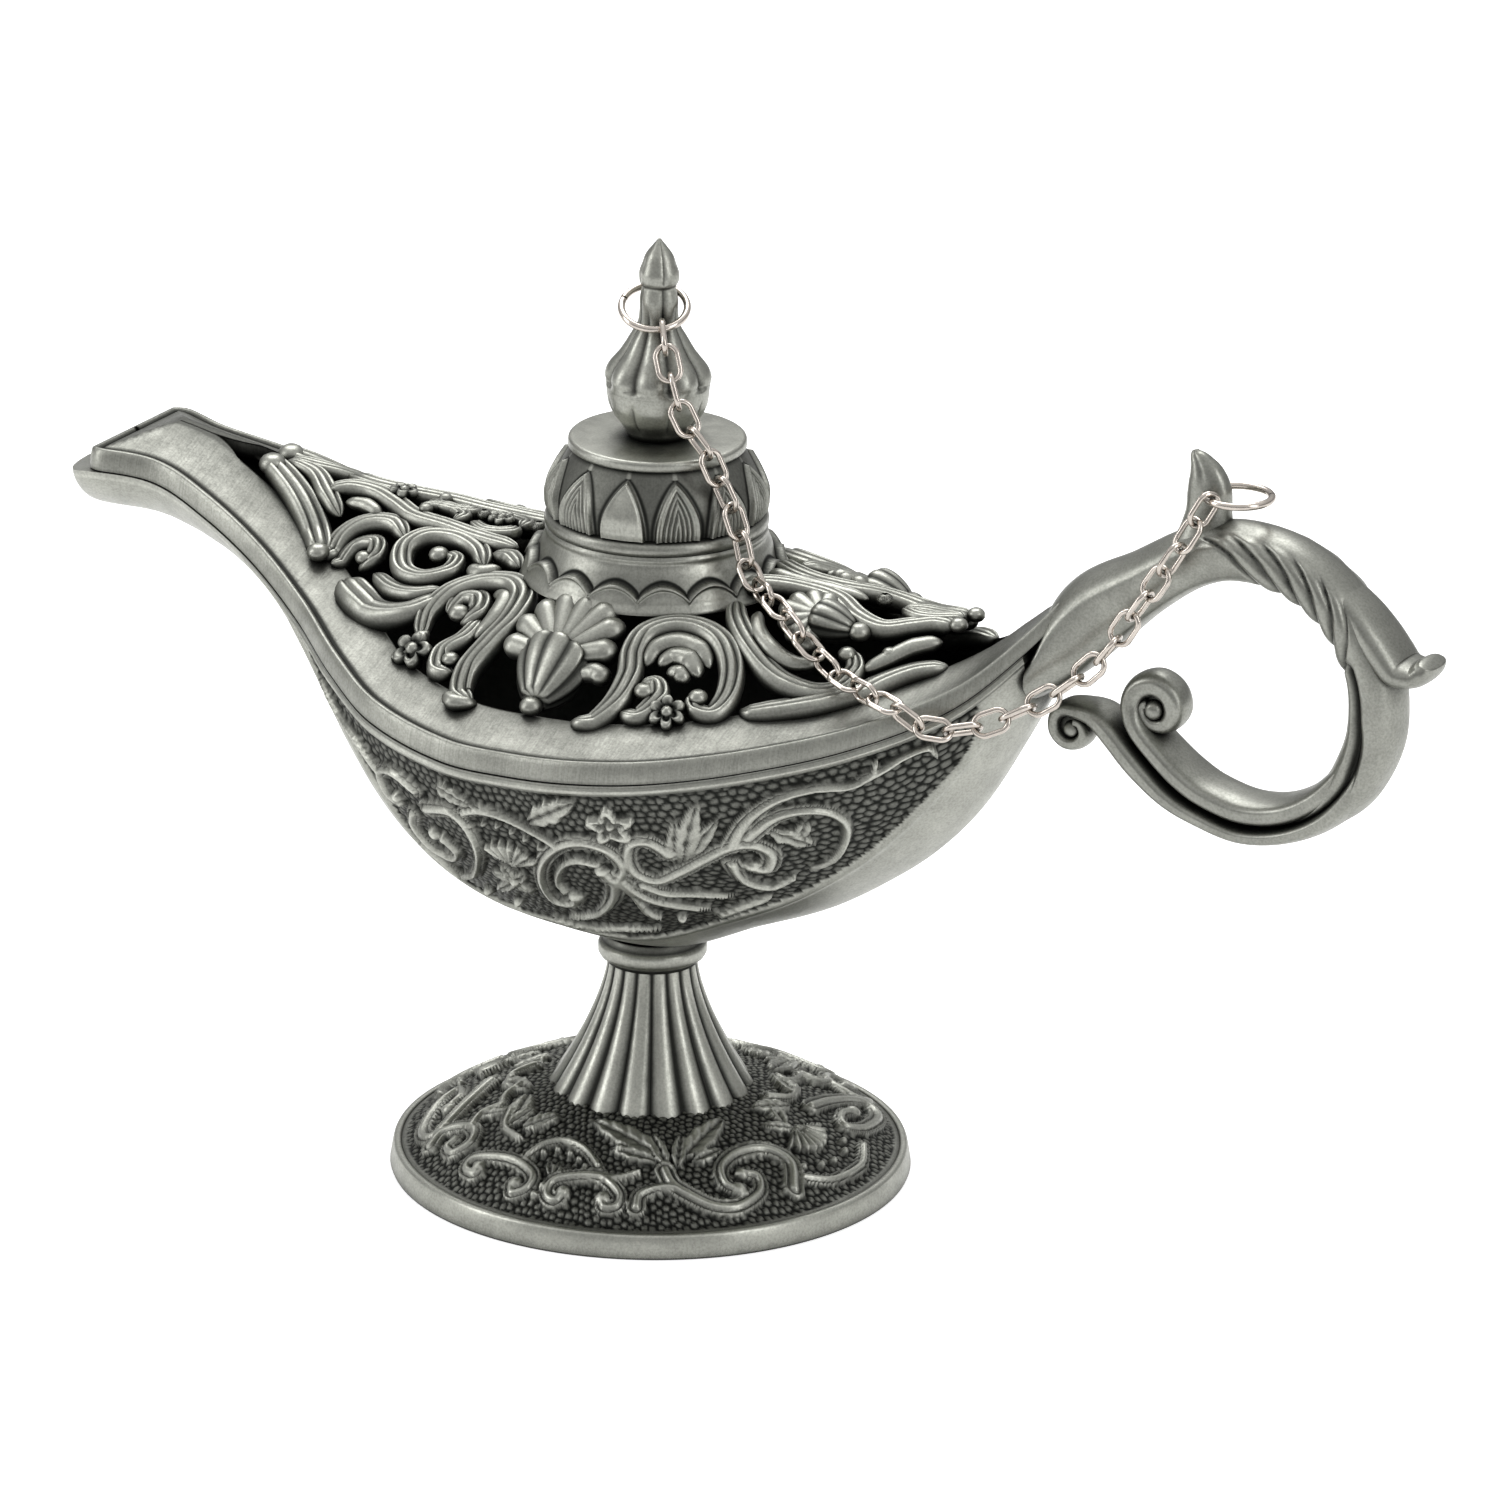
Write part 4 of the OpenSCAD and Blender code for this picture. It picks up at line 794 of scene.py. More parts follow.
def band():
    """One side of the lid's band: its top from the edge inwards, the inner wall and the underside."""
    narrow_x, corner_x, corner_y = 34.6, 2.2, 1.5
    xs = np.concatenate([tip_x + offset, np.arange(tip_x + band_w + 0.4, open_ends[0], 0.5), np.arange(
        open_ends[0], narrow_x, 0.33), np.arange(narrow_x, lid_tail_x, 0.25), [lid_tail_x]])
    c, w, ln, z = squeeze(xs), half_w(xs), lean(xs), rim_z(xs)
    corner = 1 - np.clip((xs - xs[0]) / corner_x, 0, 1)
    w = w - corner_y * (1 - np.sqrt(1 - corner ** 2))
    d = np.minimum(np.minimum(offset, xs[:, None] - tip_x), np.maximum(w, 0.5)[:, None])
    y = np.maximum(w[:, None] - offset * ln[:, None] * np.where(offset > 0, c[:, None], 1), 0)
    up = np.interp(d, offset, rise_at)
    up = up * np.where((offset > 0.9) & (up > 0), c[:, None], 1)
    before = (xs < open_ends[0])[:, None]
    up = up - 0.2 * before * np.clip(1 - y / 1.3, 0, 1) ** 2 * np.clip(d - 1, 0, 1)
    patina_and_light_level = np.interp(d, offset, band_patina_and_light)
    run = np.concatenate([[0], np.cumsum(np.hypot(np.diff(xs), np.diff(z)))])
    gap = inner_w(xs)
    outer = np.minimum(open_w(xs), y[:, -1])
    y_more = outer[:, None] + (gap - outer)[:, None] * np.array([0.25, 0.5, 0.75, 1])
    low = np.interp(xs - tip_x, offset, rise_at) - 0.7
    columns = [(y, z[:, None] + up), (y_more, (z + up[:, -1])[:, None])]
    for a, b in (0, 0), (0, -0.12), (-0.02, -0.35), (0.02, -0.9), (0.1, -band_t):
        columns.append((np.maximum(gap + a, 0)[:, None], (z + np.maximum(up[:, -1] + b, -edge_h))[:, None]))
    for a, b in ((band_w, band_rise - band_t), (2.6, band_rise * 0.45 - band_t), (1.9, 0.3 - edge_h),
                 (1.8, -edge_h), (-0.35, -edge_h)):
        under = np.minimum(b * np.where(b > -1, c, 1), low)
        columns.append((np.maximum(w - a * ln * c, 0.02)[:, None], (z + np.maximum(under, -edge_h))[:, None]))
    side = np.concatenate([spread(xs[:, None], -a, b) for a, b in columns], 1)
    # The inner wall and the underside get darker: painted shade.
    inner_patina_and_light = spread(xs[:, None], np.array([0.8] * 3 + [0.3] * 2 + [0.15] * 5))[..., 1]
    patina_and_light_values = np.concatenate([patina_and_light_level, np.repeat(patina_and_light_level[:, -1:], 4, 1), inner_patina_and_light], 1)
    reach = np.concatenate([offset, np.linspace(band_w, band_w + 1, 9), np.linspace(0, 3, 5)])
    parts = Parts()
    parts.surface(side, flip=True, lift=patina_and_light_values, uv=spread(run[:, None], reach))
    parts.surface(np.stack([side[0], side[0] * [1, 0, 1]]))
    return parts
dress(band().both_sides().object("cover_band"), brushed_metal, "lid", "cover")


# Openwork: grooved strands, shells, flowers and balls on the crest of the lid
BAR = [(-0.8, -0.75), (-1.0, -0.2), (-0.98, 0.2), (-0.85, 0.5), (-0.66, 0.66), (-0.5, 0.6), (-0.38, 0.32),
       (-0.24, 0.6), (0, 0.74), (0.24, 0.6), (0.38, 0.32), (0.5, 0.6), (0.66, 0.66), (0.85, 0.5), (0.98, 0.2),
       (1.0, -0.2), (0.8, -0.75)]
# Tones round the bar: lit on top, dark on its underside and in its two grooves: painted shade with patina.
BAR_PATINA_AND_LIGHT = [0.1, 0.35, 0.7, 1, 1, 0.8, 0.12, 0.8, 1, 0.8, 0.12, 0.8, 1, 1, 0.7, 0.35, 0.1]
ROUND = [(math.cos(a), math.sin(a)) for a in np.linspace(-math.pi * 0.98, math.pi * 0.98, 15)[::-1]]
work = Parts()


def strand(points, widths, form=BAR, tall=1.0, up=0.0, per=8):
    """A bar along plan points on the lid's crest; widths go along it."""
    c = curve(points, per)
    n = len(c)
    w = np.interp(np.linspace(0, 1, n), np.linspace(0, 1, len(widths)), widths)
    c = np.column_stack([c, open_z(c[:, 0], c[:, 1]) + up])
    tan = np.gradient(c, axis=0)
    tan /= np.linalg.norm(tan, axis=1, keepdims=True)
    side = np.cross([0, 0, 1.0], tan)
    side /= np.linalg.norm(side, axis=1, keepdims=True)
    over = np.cross(tan, side)
    f = np.array(form)[::-1]
    t = np.linspace(0, 1, n)
    cap = np.minimum(1, np.sqrt(np.clip(np.minimum(t, 1 - t) * n / per * 2.2, 0.03, 1)))
    w = w * cap * 1.12
    rings = c[:, None] + w[:, None, None] * (f[:, :1] * side[:, None] + tall * f[:, 1:] * over[:, None])
    # Round bars are lit on top and get painted shade underneath.
    work.tube(rings, np.tile(BAR_PATINA_AND_LIGHT if form is BAR else np.clip(0.75 + f[:, 1], 0.15, 1), (n, 1)))


def ball(x, y, r, up=0.0, flat=1.0):
    z = float(open_z(x, y)) + up
    a = np.linspace(0, math.pi, 9)[1:-1, None]
    rings = round_z(r * np.sin(a), circle(16), -r * flat * np.cos(a)) + [x, y, z]
    # Balls are lit on top and get painted shade underneath.
    work.tube(rings, np.repeat(np.clip(0.9 - 0.6 * np.cos(a), 0.2, 1), 16, 1))


def rib(a, b, r0, r1):
    strand([a, [(a[0] + b[0]) / 2, (a[1] + b[1]) / 2], b], [r0, (r0 + r1) * 0.5, r1], ROUND, 0.95, 0.25, 7)


def flower(x, y, r, petals, up=0.5):
    """Cupped petals round a button, laid on the slope of the crest."""
    b = circle(12 * petals)
    lobe = np.abs(np.cos(petals * b / 2)) ** 0.7
    z = float(open_z(x, y))
    slope = np.array([z - float(open_z(x + 0.5, y)), z - float(open_z(x, y + 0.5)), 0.5])
    top = slope / np.linalg.norm(slope)
    ex = np.cross([0, 1.0, 0], top)
    ex /= np.linalg.norm(ex)
    ey = np.cross(top, ex)
    mid = np.array([x, y, z]) + up * top
    rings, patina_and_light_values = [], []
    # The flower is dark underneath, round its button and between petals: painted shade with patina.
    for f, high, lift in ((0.1, -0.6, 0.1), (0.9, -0.6, 0.1), (1.05, -0.1, 0.5), (0.97, 0.3, 1),
                          (0.75, 0.32, 0.8), (0.5, 0.0, 0.3), (0.4, -0.05, 0.06), (0.33, 0.1, 0.5),
                          (0.24, 0.4, 1), (0.02, 0.5, 1)):
        out = r * f * (1 - (1 - lobe) * 0.5 * (f > 0.45))
        ray = np.cos(b)[:, None] * ex + np.sin(b)[:, None] * ey
        rings.append(mid + out[:, None] * ray + high * r * 0.75 * top)
        patina_and_light_values.append(lift * (1 - (1 - lobe) * (f > 0.45)))
    work.tube(np.array(rings), np.clip(np.array(patina_and_light_values), 0.05, 1))


def shell(cx, cy, knob, ends, cup_w):
    """A fluted cup with a knob, and ribs that fan out from its mouth."""
    for e in ends:
        rib([cx, cy], e, 0.7, 1.12 if len(ends) > 7 else 0.8)
    ax = np.array([knob[0] - cx, knob[1] - cy])
    ax = ax / np.hypot(*ax)
    sx = np.array([-ax[1], ax[0]])
    cup_l = math.hypot(knob[0] - cx, knob[1] - cy) + 0.2
    rings, patina_and_light_values = [], []
    b = circle(64)
    flute = wave(b, 9, 5)
    widest = 0.3
    for t in np.linspace(0.0, 1, 22):
        if t < widest:
            wide = cup_w * math.sqrt(max(0.01, 1 - ((widest - t) / 0.32) ** 2))
        else:
            wide = cup_w * (1 - ((t - widest) / 0.86) ** 1.8) ** 0.75
        mid = np.array([cx, cy]) + ax * (t * cup_l - 0.7)
        off = wide * np.cos(b) * (1 - 0.12 * flute)
        high = float(open_z(*mid)) + (0.72 * wide + 0.1) * np.sin(b) * (1 - 0.12 * flute) + 0.3
        rings.append(spread(mid[0] + sx[0] * off, mid[1] + sx[1] * off, high))
        # The cup is lit on top and darker underneath, in its flutes and where it meets the ribs: painted shade
        # with patina.
        patina_and_light_values.append(np.clip(0.35 + 0.9 * np.sin(b), 0.15, 1) * (1 - 0.9 * flute)
                     * (0.25 + 0.75 * min(1, t * 8)))
    turn = -1 if sx[0] * ax[1] - sx[1] * ax[0] > 0 else 1
    work.tube(np.array(rings)[:, ::turn], np.array(patina_and_light_values)[:, ::turn])
    ball(knob[0], knob[1], 0.95, 0.3, 0.8)


# The big C scroll with its commas, beside the collar towards the handle
strand([[3.2, -18.4], [4.8, -18], [6, -16.4], [6.1, -14.4], [5.4, -12.6], [5.6, -10.8], [7.2, -9.4],
        [9.4, -8.9], [11.6, -9.4], [13.3, -10.8], [14, -12.6], [13.6, -14.2], [12.4, -14.7], [11.6, -13.9]],
       [0.5, 0.85, 0.95, 0.95, 0.95, 1, 1, 1, 1, 0.95, 0.9, 0.85, 0.75, 0.55])
strand([[7.4, -14.8], [8.4, -14.2], [9.2, -15.2], [8.4, -16.8], [6.8, -16.8]], [0.5, 0.7, 0.85, 0.8, 0.5])
strand([[6.9, -13.2], [7, -11.6], [8.4, -10.6], [10.4, -10.6], [11.8, -11.6]], [0.4, 0.75, 0.85, 0.8, 0.4],
       ROUND, 0.9)
strand([[7.9, -12.9], [8.6, -11.9], [10, -11.7], [11.4, -12.6]], [0.4, 0.75, 0.9, 0.5], ROUND, 0.9)
strand([[8.8, -13.2], [9.8, -12.9], [10.6, -13.4]], [0.4, 0.7, 0.5], ROUND, 0.9)
ball(8, -15.2, 0.85, 0.3, 0.8)
ball(12.2, -14.1, 0.8, 0.3, 0.8)
flower(10.6, -16.0, 1.5, 6)

# The C scroll between shell and spout, turned the other way
strand([[-13.9, -13.1], [-14.4, -11.2], [-13.4, -9.2], [-11.2, -7.9], [-8.6, -7.8], [-6.7, -9.2], [-6.4, -11.4],
        [-7.2, -13.4], [-8, -15.4], [-7.6, -17.2], [-6.2, -18]],
       [0.5, 0.8, 0.95, 1, 1, 1, 1, 1, 0.95, 0.85, 0.5])
strand([[-12.7, -11], [-12, -9.7], [-10.6, -9.6], [-10, -10.8], [-10.9, -11.9]], [0.5, 0.85, 0.9, 0.85, 0.5])
strand([[-9.6, -9], [-8.2, -9.4], [-8, -11.2], [-9, -13]], [0.4, 0.75, 0.8, 0.4], ROUND, 0.9)
strand([[-9.4, -11.4], [-9.8, -13], [-11, -14.2], [-10.6, -15.6], [-9.2, -15.8]], [0.5, 0.75, 0.85, 0.9, 0.6])
ball(-11.4, -11.3, 0.9, 0.35, 0.8)
ball(-9.9, -15, 0.75, 0.3, 0.8)
flower(-13.6, -14.3, 1.7, 5)
strand([[-15.2, -15.4], [-14.4, -14.2], [-13.4, -12.6]], [0.5, 0.6, 0.5], ROUND)
strand([[-5.7, -17.9], [-7.2, -18.9], [-8.4, -18]], [0.4, 0.6, 0.5], ROUND)

# Leaf stroke and the round scroll with its ball
strand([[-23.8, -8.6], [-21.4, -10], [-18.6, -11], [-16, -10.9], [-14.2, -9.6]], [1.2, 1.45, 1.35, 1.1, 0.6])
strand([[-21.6, -7.6], [-19.2, -9], [-16.6, -9.5], [-14.6, -8.9]], [0.5, 0.8, 0.8, 0.4])
strand([[-12.2, -6.2], [-13.6, -4.6], [-16, -3.7], [-18.6, -4.1], [-19.9, -5.7], [-19, -7.5], [-16.8, -8.1],
        [-14.9, -7.3], [-14.9, -6], [-16.2, -5.6]], [0.6, 0.85, 0.9, 0.9, 0.9, 0.85, 0.8, 0.75, 0.65, 0.5])
strand([[-13.4, -6.6], [-12, -7], [-10.6, -6.2]], [0.5, 0.7, 0.5], ROUND)
ball(-16.5, -6.1, 0.85, 0.3, 0.8)
strand([[-26.9, -7.2], [-26.3, -5], [-24.6, -3.7], [-22.2, -3.5], [-20.4, -4.8]], [0.7, 0.9, 0.9, 0.85, 0.5])
strand([[-25.9, -7.3], [-24.8, -5.5], [-23, -5.2], [-22.4, -6.3], [-23.4, -7.1]], [0.5, 0.75, 0.75, 0.75, 0.5])
ball(-23.3, -6.5, 0.75, 0.3, 0.8)
strand([[-35.6, -1.2], [-33.6, -2], [-31.2, -3.2], [-28.8, -4.9], [-27, -6.9]], [0.9, 1.1, 1.2, 1.15, 0.9])
strand([[-34.4, -0.3], [-31.6, -0.7], [-29.4, -2.2], [-27.4, -3.6]], [0.5, 0.75, 0.85, 0.5])
strand([[-29.8, -2], [-28, -0.9], [-25.6, -0.7], [-23.2, -1.5], [-20.8, -2.5], [-17.6, -2.7], [-14.6, -3.1],
        [-10.8, -3.4]],
       [0.5, 0.8, 0.85, 0.85, 0.85, 0.8, 0.85, 0.8])
strand([[-27.6, -2.4], [-25.6, -2.3], [-23.9, -2.9]], [0.4, 0.6, 0.4], ROUND)
strand([[-21.6, -0.9], [-19.6, 0.1], [-17.6, -0.6], [-17.9, -1.6]], [0.4, 0.6, 0.65, 0.45])
strand([[-16.6, -1], [-14.8, -1.9], [-12.9, -1.3], [-12.8, -0.2]], [0.4, 0.6, 0.65, 0.5])
strand([[-12.4, -4.6], [-10.6, -4.8], [-9, -6]], [0.5, 0.8, 0.6])
ball(-35.2, -1.4, 1.15, 0.1, 0.8)
ball(-27.2, -7.2, 0.95, 0.15, 0.8)
ball(-20.6, -1.5, 0.6, 0.3, 0.8)
ball(-16, 0, 0.6, 0.35, 0.8)
ball(-10.9, 0, 0.65, 0.35, 0.8)
flower(-23.6, 0, 1.2, 5)
flower(-14.4, -0.2, 1.0, 5)

# Towards the handle: S scroll, long leaf and the strands that run out to the tail
strand([[10.4, -5.2], [11.6, -7], [13.6, -8.6], [16.2, -9.6], [19, -9.5], [21.3, -8.3], [22, -6.6], [21, -5.6]],
       [0.6, 0.85, 0.95, 1, 1, 0.9, 0.75, 0.5])
strand([[12.6, -5.4], [13.4, -7], [15.2, -8], [17.4, -8.2], [19.2, -7.4]], [0.4, 0.65, 0.75, 0.7, 0.4], ROUND,
       0.9)
strand([[15.2, -12.9], [17.2, -12], [20, -10.4], [22.6, -8.2], [24.6, -6.3], [26.6, -4.9], [28.8, -3.9]],
       [0.6, 0.95, 1.05, 1.05, 1, 0.9, 0.7])
strand([[22.6, -6.4], [24, -5], [25.6, -3.6], [27.6, -2.7]], [0.45, 0.7, 0.75, 0.6], ROUND, 0.9)
strand([[9.6, -2.8], [12, -1.5], [14.6, -1], [17.4, -1.3], [20, -2.7], [22.4, -3], [24.4, -2], [26.2, -1.3],
        [28, -1.4]],
       [0.8, 0.85, 0.8, 0.8, 0.85, 0.85, 0.8, 0.8, 0.65])
ball(28.3, -1.4, 0.75, 0.2, 0.8)
strand([[22.6, 0], [24.4, -0.7], [26.6, -0.4], [28, 0]], [0.5, 0.65, 0.6, 0.4])
strand([[10.4, 0], [12.8, 0], [16, 0.2], [19.4, 0]], [0.6, 0.5, 0.6, 0.4], ROUND)
ball(21, -6.1, 0.75, 0.3, 0.8)
ball(24.1, -4.8, 0.65, 0.3, 0.8)
ball(20.9, 0, 0.7, 0.35, 0.8)
shell(-0.6, -14.3, [-0.9, -17.6], [[-5.6, -13.6], [-5.3, -11.6], [-4.1, -10], [-2.3, -9.1], [-0.1, -8.9],
                                   [2, -9.4], [3.6, -10.8], [4.2, -12.9]], 3.3)
strand([[1.6, -14.9], [3.2, -14.6], [4.4, -15]], [0.6, 0.8, 0.7], ROUND, 1, 0)
shell(17.6, -4.3, [21, -4.2], [[17.7, -7.2], [16, -7], [14.6, -6], [13.9, -4.5], [14.2, -3], [15.4, -1.9],
                               [17, -1.7]], 2.2)
dress(work.both_sides().object("cover_openwork"), openwork_metal, "lid", "cover")


# Scalloped collar
front = math.pi / 2
collar = Parts()
angle = circle(768)
z = np.linspace(-4.1, 0, 60)[:, None]
base = key([[-4.2, scallop_r - 0.95], [-3.4, scallop_r - 1.0], [-2.4, scallop_r - 1.4], [-1.4, dome_r + 0.25],
            [-0.7, dome_r - 0.05], [-0.25, dome_r - 0.02], [0, dome_r - 0.15]], z)
d = 1.05 * wave(angle + front, scallop_count) ** 0.75 - 2.95 - z
lay = step(d / 0.16) * (0.6 + 0.2 * bump(d, 0.2, 0.18)) + 0.35 * step((-3.3 - z) / 0.8)
# Scallop faces get a painted highlight; their edges, where they drop to the wall, go dark: painted shade.
lift = 1.15 + 0.3 * (d > 0.1) - 1.3 * bump(d, -0.08, 0.2) - 0.5 * bump(d, 0.7, 0.25) * (d > 0)
collar.surface(round_z(np.minimum(base + lay, scallop_r), angle, joint_z + z), wrap=True, flip=True,
               lift=np.clip(lift, 0.05, 1.5), uv=spread(angle * 10, z))
# The plate under the collar gets painted shade.
collar.turned([[scallop_r - 0.6, -4.1], [dome_r - 1.2, -4.3], [dome_r - 1.2, -4], [dome_r - 1.6, -plate_t],
               [hole_r, -plate_t], [hole_r, 0], [dome_r - 0.15, 0]], 96, [0.4, 0.2, 0.15, 0.15, 0.2, 0.3, 0.3],
              flip=False, start=(0, joint_z))
dress(collar.object("cover_collar"), smooth_metal, "lid", "cover")

# Dome: its wall with the petals, then the bead under it and the disc on top
dome = Parts()
cols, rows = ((864, 72))
angle = circle(cols)
z = np.linspace(1.25, dome_h - disc_t, rows)[:, None]
body = key([[1.2, dome_r - 0.55], [1.8, dome_r - 0.42], [3, dome_r - 0.42], [4.2, dome_r - 0.85],
            [5.4, dome_r - 1.5], [6.4, disc_r - 0.35]], z)
pitch = 2 * math.pi / petal_count
petal_foot, petal_h, petal_w = 1.35, 4.4, 2.0
turned_by = angle + front - math.radians(12)
count = np.round(turned_by / pitch)
tall = (z - petal_foot) / petal_h
half_petal = petal_w * np.clip(1 - np.clip(tall, 0, 1) ** 2.3, 0, 1) ** 0.8
d = half_petal - np.abs((turned_by - count * pitch) * dome_r)
inside = step(d / 0.28) * (tall < 1)
lines = 1 - np.abs(np.sin(d * math.pi / 0.4)) ** 1.3
plain = np.mod(count, petal_count) == 0
lined = step((d - 0.42) / 0.2) * np.where(plain, 0.0, lines)
petal = inside * (0.34 + 0.14 * bump(d, 0.24, 0.16)) - 0.2 * lined
# Petal outlines, lines and the ground between petals go dark: patina and painted shade. Petals get a painted
# highlight, and the top of the wall painted shade under the disc.
lift = 1 - 0.85 * bump(d, -0.1, 0.2) * (tall < 1.02) - 0.85 * lined - 0.55 * step((-d - 0.05) / 0.3)
lift = (lift + 0.45 * inside * plain + 0.25 * inside) * (1 - 0.6 * step((z / (dome_h - disc_t) - 0.93) / 0.07))
dome.surface(round_z(body + petal, angle, joint_z + z), wrap=True, flip=True, lift=np.clip(lift, 0.04, 1.7),
             uv=spread(angle * 8, z))
# The bead is lit on its face and darker above and below: painted shade.
dome.turned([[hole_r - dome_r, 0], [-0.2, 0], [-0.06, 0.1], [0.03, 0.3], [0.04, 0.5], [0, 0.75], [-0.12, 0.98],
             [-0.35, 1.12], [-0.7, 1.27], [-1.2, 1.3]], 288,
            [0.1, 0.1, 0.6, 1, 1, 1, 0.8, 0.25, 0.1, 0.1], start=(dome_r, joint_z))
# The disc gets painted shade underneath and a painted highlight on its edge and top.
dome.turned([[-1, -0.1 - disc_t], [-0.35, -disc_t], [-0.1, 0.06 - disc_t], [0, 0.2 - disc_t], [0, -0.3],
             [-0.05, -0.14], [-0.16, -0.04], [-0.34, 0], [4.2 - disc_r, 0], [3.2 - disc_r, 0.02],
             [waist_r - disc_r, 0]], 192, [0.1, 0.3, 0.8, 1.2, 1.3, 1.4, 1.5, 1.5, 1.4, 1, 0.3],
            start=(disc_r, disc_z))
dress(dome.object("dome_casting"), smooth_metal, "lid", "dome_cap")

# Finial: a lobed bulb, a four-sided neck and a bud, with a seam under each of the last two
finial = Parts()
angle = circle(288)
f = np.linspace(0, 1, 210)[:, None]
outline = [[0, 2.3], [0.02, 2.5], [0.05, 2.75], [0.1, bulb_r - 0.85], [0.16, bulb_r - 0.35],
           [0.21, bulb_r - 0.2], [0.245, bulb_r - 0.16], [0.275, bulb_r - 0.08], [0.31, bulb_r],
           [0.36, bulb_r - 0.3], [0.43, bulb_r - 1.2], [0.5, waist_r + 0.75], [0.57, waist_r + 0.15],
           [0.63, waist_r], [0.69, waist_r - 0.02], [0.73, waist_r - 0.12], [0.765, waist_r - 0.2],
           [0.79, waist_r], [0.83, waist_r + 0.02], [0.87, waist_r - 0.2], [0.92, waist_r - 0.5],
           [0.965, waist_r - 1.05], [1, 0.08]]
lobes, sides = wave(angle + front, lobe_count), wave(angle + front * 1.5, 4)
upper = step((f - 0.255) / 0.03) * (1 - step((f - 0.56) / 0.14))
lower = step((f - 0.03) / 0.05) * (1 - step((f - 0.16) / 0.08))
neck = step((f - 0.5) / 0.1) * (1 - step((f - 0.755) / 0.015))
bud = step((f - 0.775) / 0.02)
r = key(outline, f) * (1 - upper * 0.15 * (1 - lobes ** 0.8) - lower * 0.06 * (1 - lobes ** 0.5)
                       - neck * 0.16 * (1 - sides ** 0.6) - bud * 0.1 * (1 - sides ** 0.5))
seam = 0.3 * bump(f, 0.25, 0.008) + bump(f, 0.768, 0.008)
# Creases go dark with patina and painted shade; the seams are dark joints, and the finial's foot gets painted
# shade where it stands on the disc.
lift = 1 - 0.75 * upper * (1 - lobes) ** 2 - 0.6 * neck * (1 - sides) ** 2 - 0.6 * bud * (1 - sides) ** 6
lift = (lift - 0.5 * lower * (1 - lobes) ** 5 - 0.75 * seam) * (0.25 + 0.75 * step(f / 0.05))
finial.tube(round_z(r, angle, disc_z + finial_h * f)[:, ::-1], np.clip(lift, 0.05, 1)[:, ::-1])
dress(finial.object("finial_casting"), openwork_metal, "lid", "finial")

# Handle
loop_x = loop_reach - loop_t / 2 - loop_r
root_z = float((keel_z(tail_x) + rim_z(tail_x) - rim_drop) / 2)
root_t = float(rim_z(tail_x) - rim_drop - keel_z(tail_x) - 0.1)
horn_x = loop_x - 4.3
horn_z = loop_h + loop_r + loop_t / 2 + 2.05
handle = Parts()


def arc(deg, r=loop_r):
    """A point on a circle round the loop's middle."""
    return polar(r, deg, loop_x, loop_h)


def bar(points, form, per=14, first=None, ends=False, around=72):
    """A swept bar through [x, z, thickness, depth]; form(angle, t) gives its section's swell and tone value,
    whose dark parts are patina and painted shade.
    """
    c = curve(points, per)
    n = len(c)
    tan = np.gradient(c[:, :2], axis=0)
    tan /= np.linalg.norm(tan, axis=1, keepdims=True)
    if first:
        blend = step(np.arange(n) / per)[:, None]
        tan = np.array(first)[None] * (1 - blend) + tan * blend
        tan /= np.linalg.norm(tan, axis=1, keepdims=True)
    a = circle(around)
    swell, lift = form(a[None], np.linspace(0, 1, n)[:, None])
    u = np.sign(np.cos(a)) * np.abs(np.cos(a)) ** 0.85 * c[:, 2:3] / 2 * swell
    v = -np.sign(np.sin(a)) * np.abs(np.sin(a)) ** 0.85 * c[:, 3:4] / 2 * swell
    if ends:
        t = np.arange(n)
        cap = np.sqrt(np.clip(np.minimum(t, n - 1 - t) / (0.3 * per), 0.02, 1))[:, None]
        u, v = u * cap, v * cap
    rings = np.stack([c[:, :1] - tan[:, 1:2] * u, v, c[:, 1:2] + tan[:, :1] * u], -1)
    handle.tube(rings, lift * np.ones((n, around)))


def plain_form(a, t):
    return 1, 1


def loop_form(a, t):
    """Smooth neck, then a leaf's slanting ribs, then a dark groove on each side of the loop."""
    side, off = np.abs(np.sin(a)), np.cos(a)
    turn = np.interp(t * 12, [0, 3, 4, 5, 6, 7, 8, 9, 10, 11, 12],
                     [160, 118, 96, 70, 44, 18, -8, -30, -46, -62, -78])
    place = np.interp(turn, [-60, -30, 0, 25], [0.2, 0.05, -0.3, -0.35])
    groove = bump(off, place, 0.17) * (side > 0.4) * step((27 - turn) / 6)
    phase = turn - 17 * off - 4 * off * off
    ribs = step((phase - 30) / 3) * step((97 - phase) / 3) * step((side - 0.3) / 0.3) * step((0.8 - off) / 0.25)
    crest = np.abs(np.sin(math.pi * (phase - 32) / 12.4)) ** 0.55
    crease = wave(a, 5) * (1 - step((t - 0.3) / 0.2)) * step(t / 0.08)
    swell = 1 - 0.3 * groove - 0.035 * crease + ribs * (0.2 * crest - 0.13)
    # Grooves and the hollows between ribs go dark: patina and painted shade.
    return swell, (1 - 0.95 * groove) * (1 - ribs * 0.95 * (1 - crest))


bar([[tail_x, root_z, root_t, 2 * float(half_w(tail_x)) + 1], [tail_x + 3.8, root_z + 5, 6.4, 7.4],
     [tail_x + 8.4, root_z + 8.6, 5.2, 6],
     *(arc(deg) + [loop_t + more, loop_depth] for deg, more in (
         (118, 0.5), (96, 0.4), (70, 0), (44, -0.3), (18, -0.2), (-8, 0), (-30, -0.2))),
     arc(-46) + [loop_t - 0.7, loop_depth - 0.5], arc(-62) + [2.2, 3.8], arc(-78) + [1.0, 2.8]],
    loop_form, 30, [1, 0], around=112)


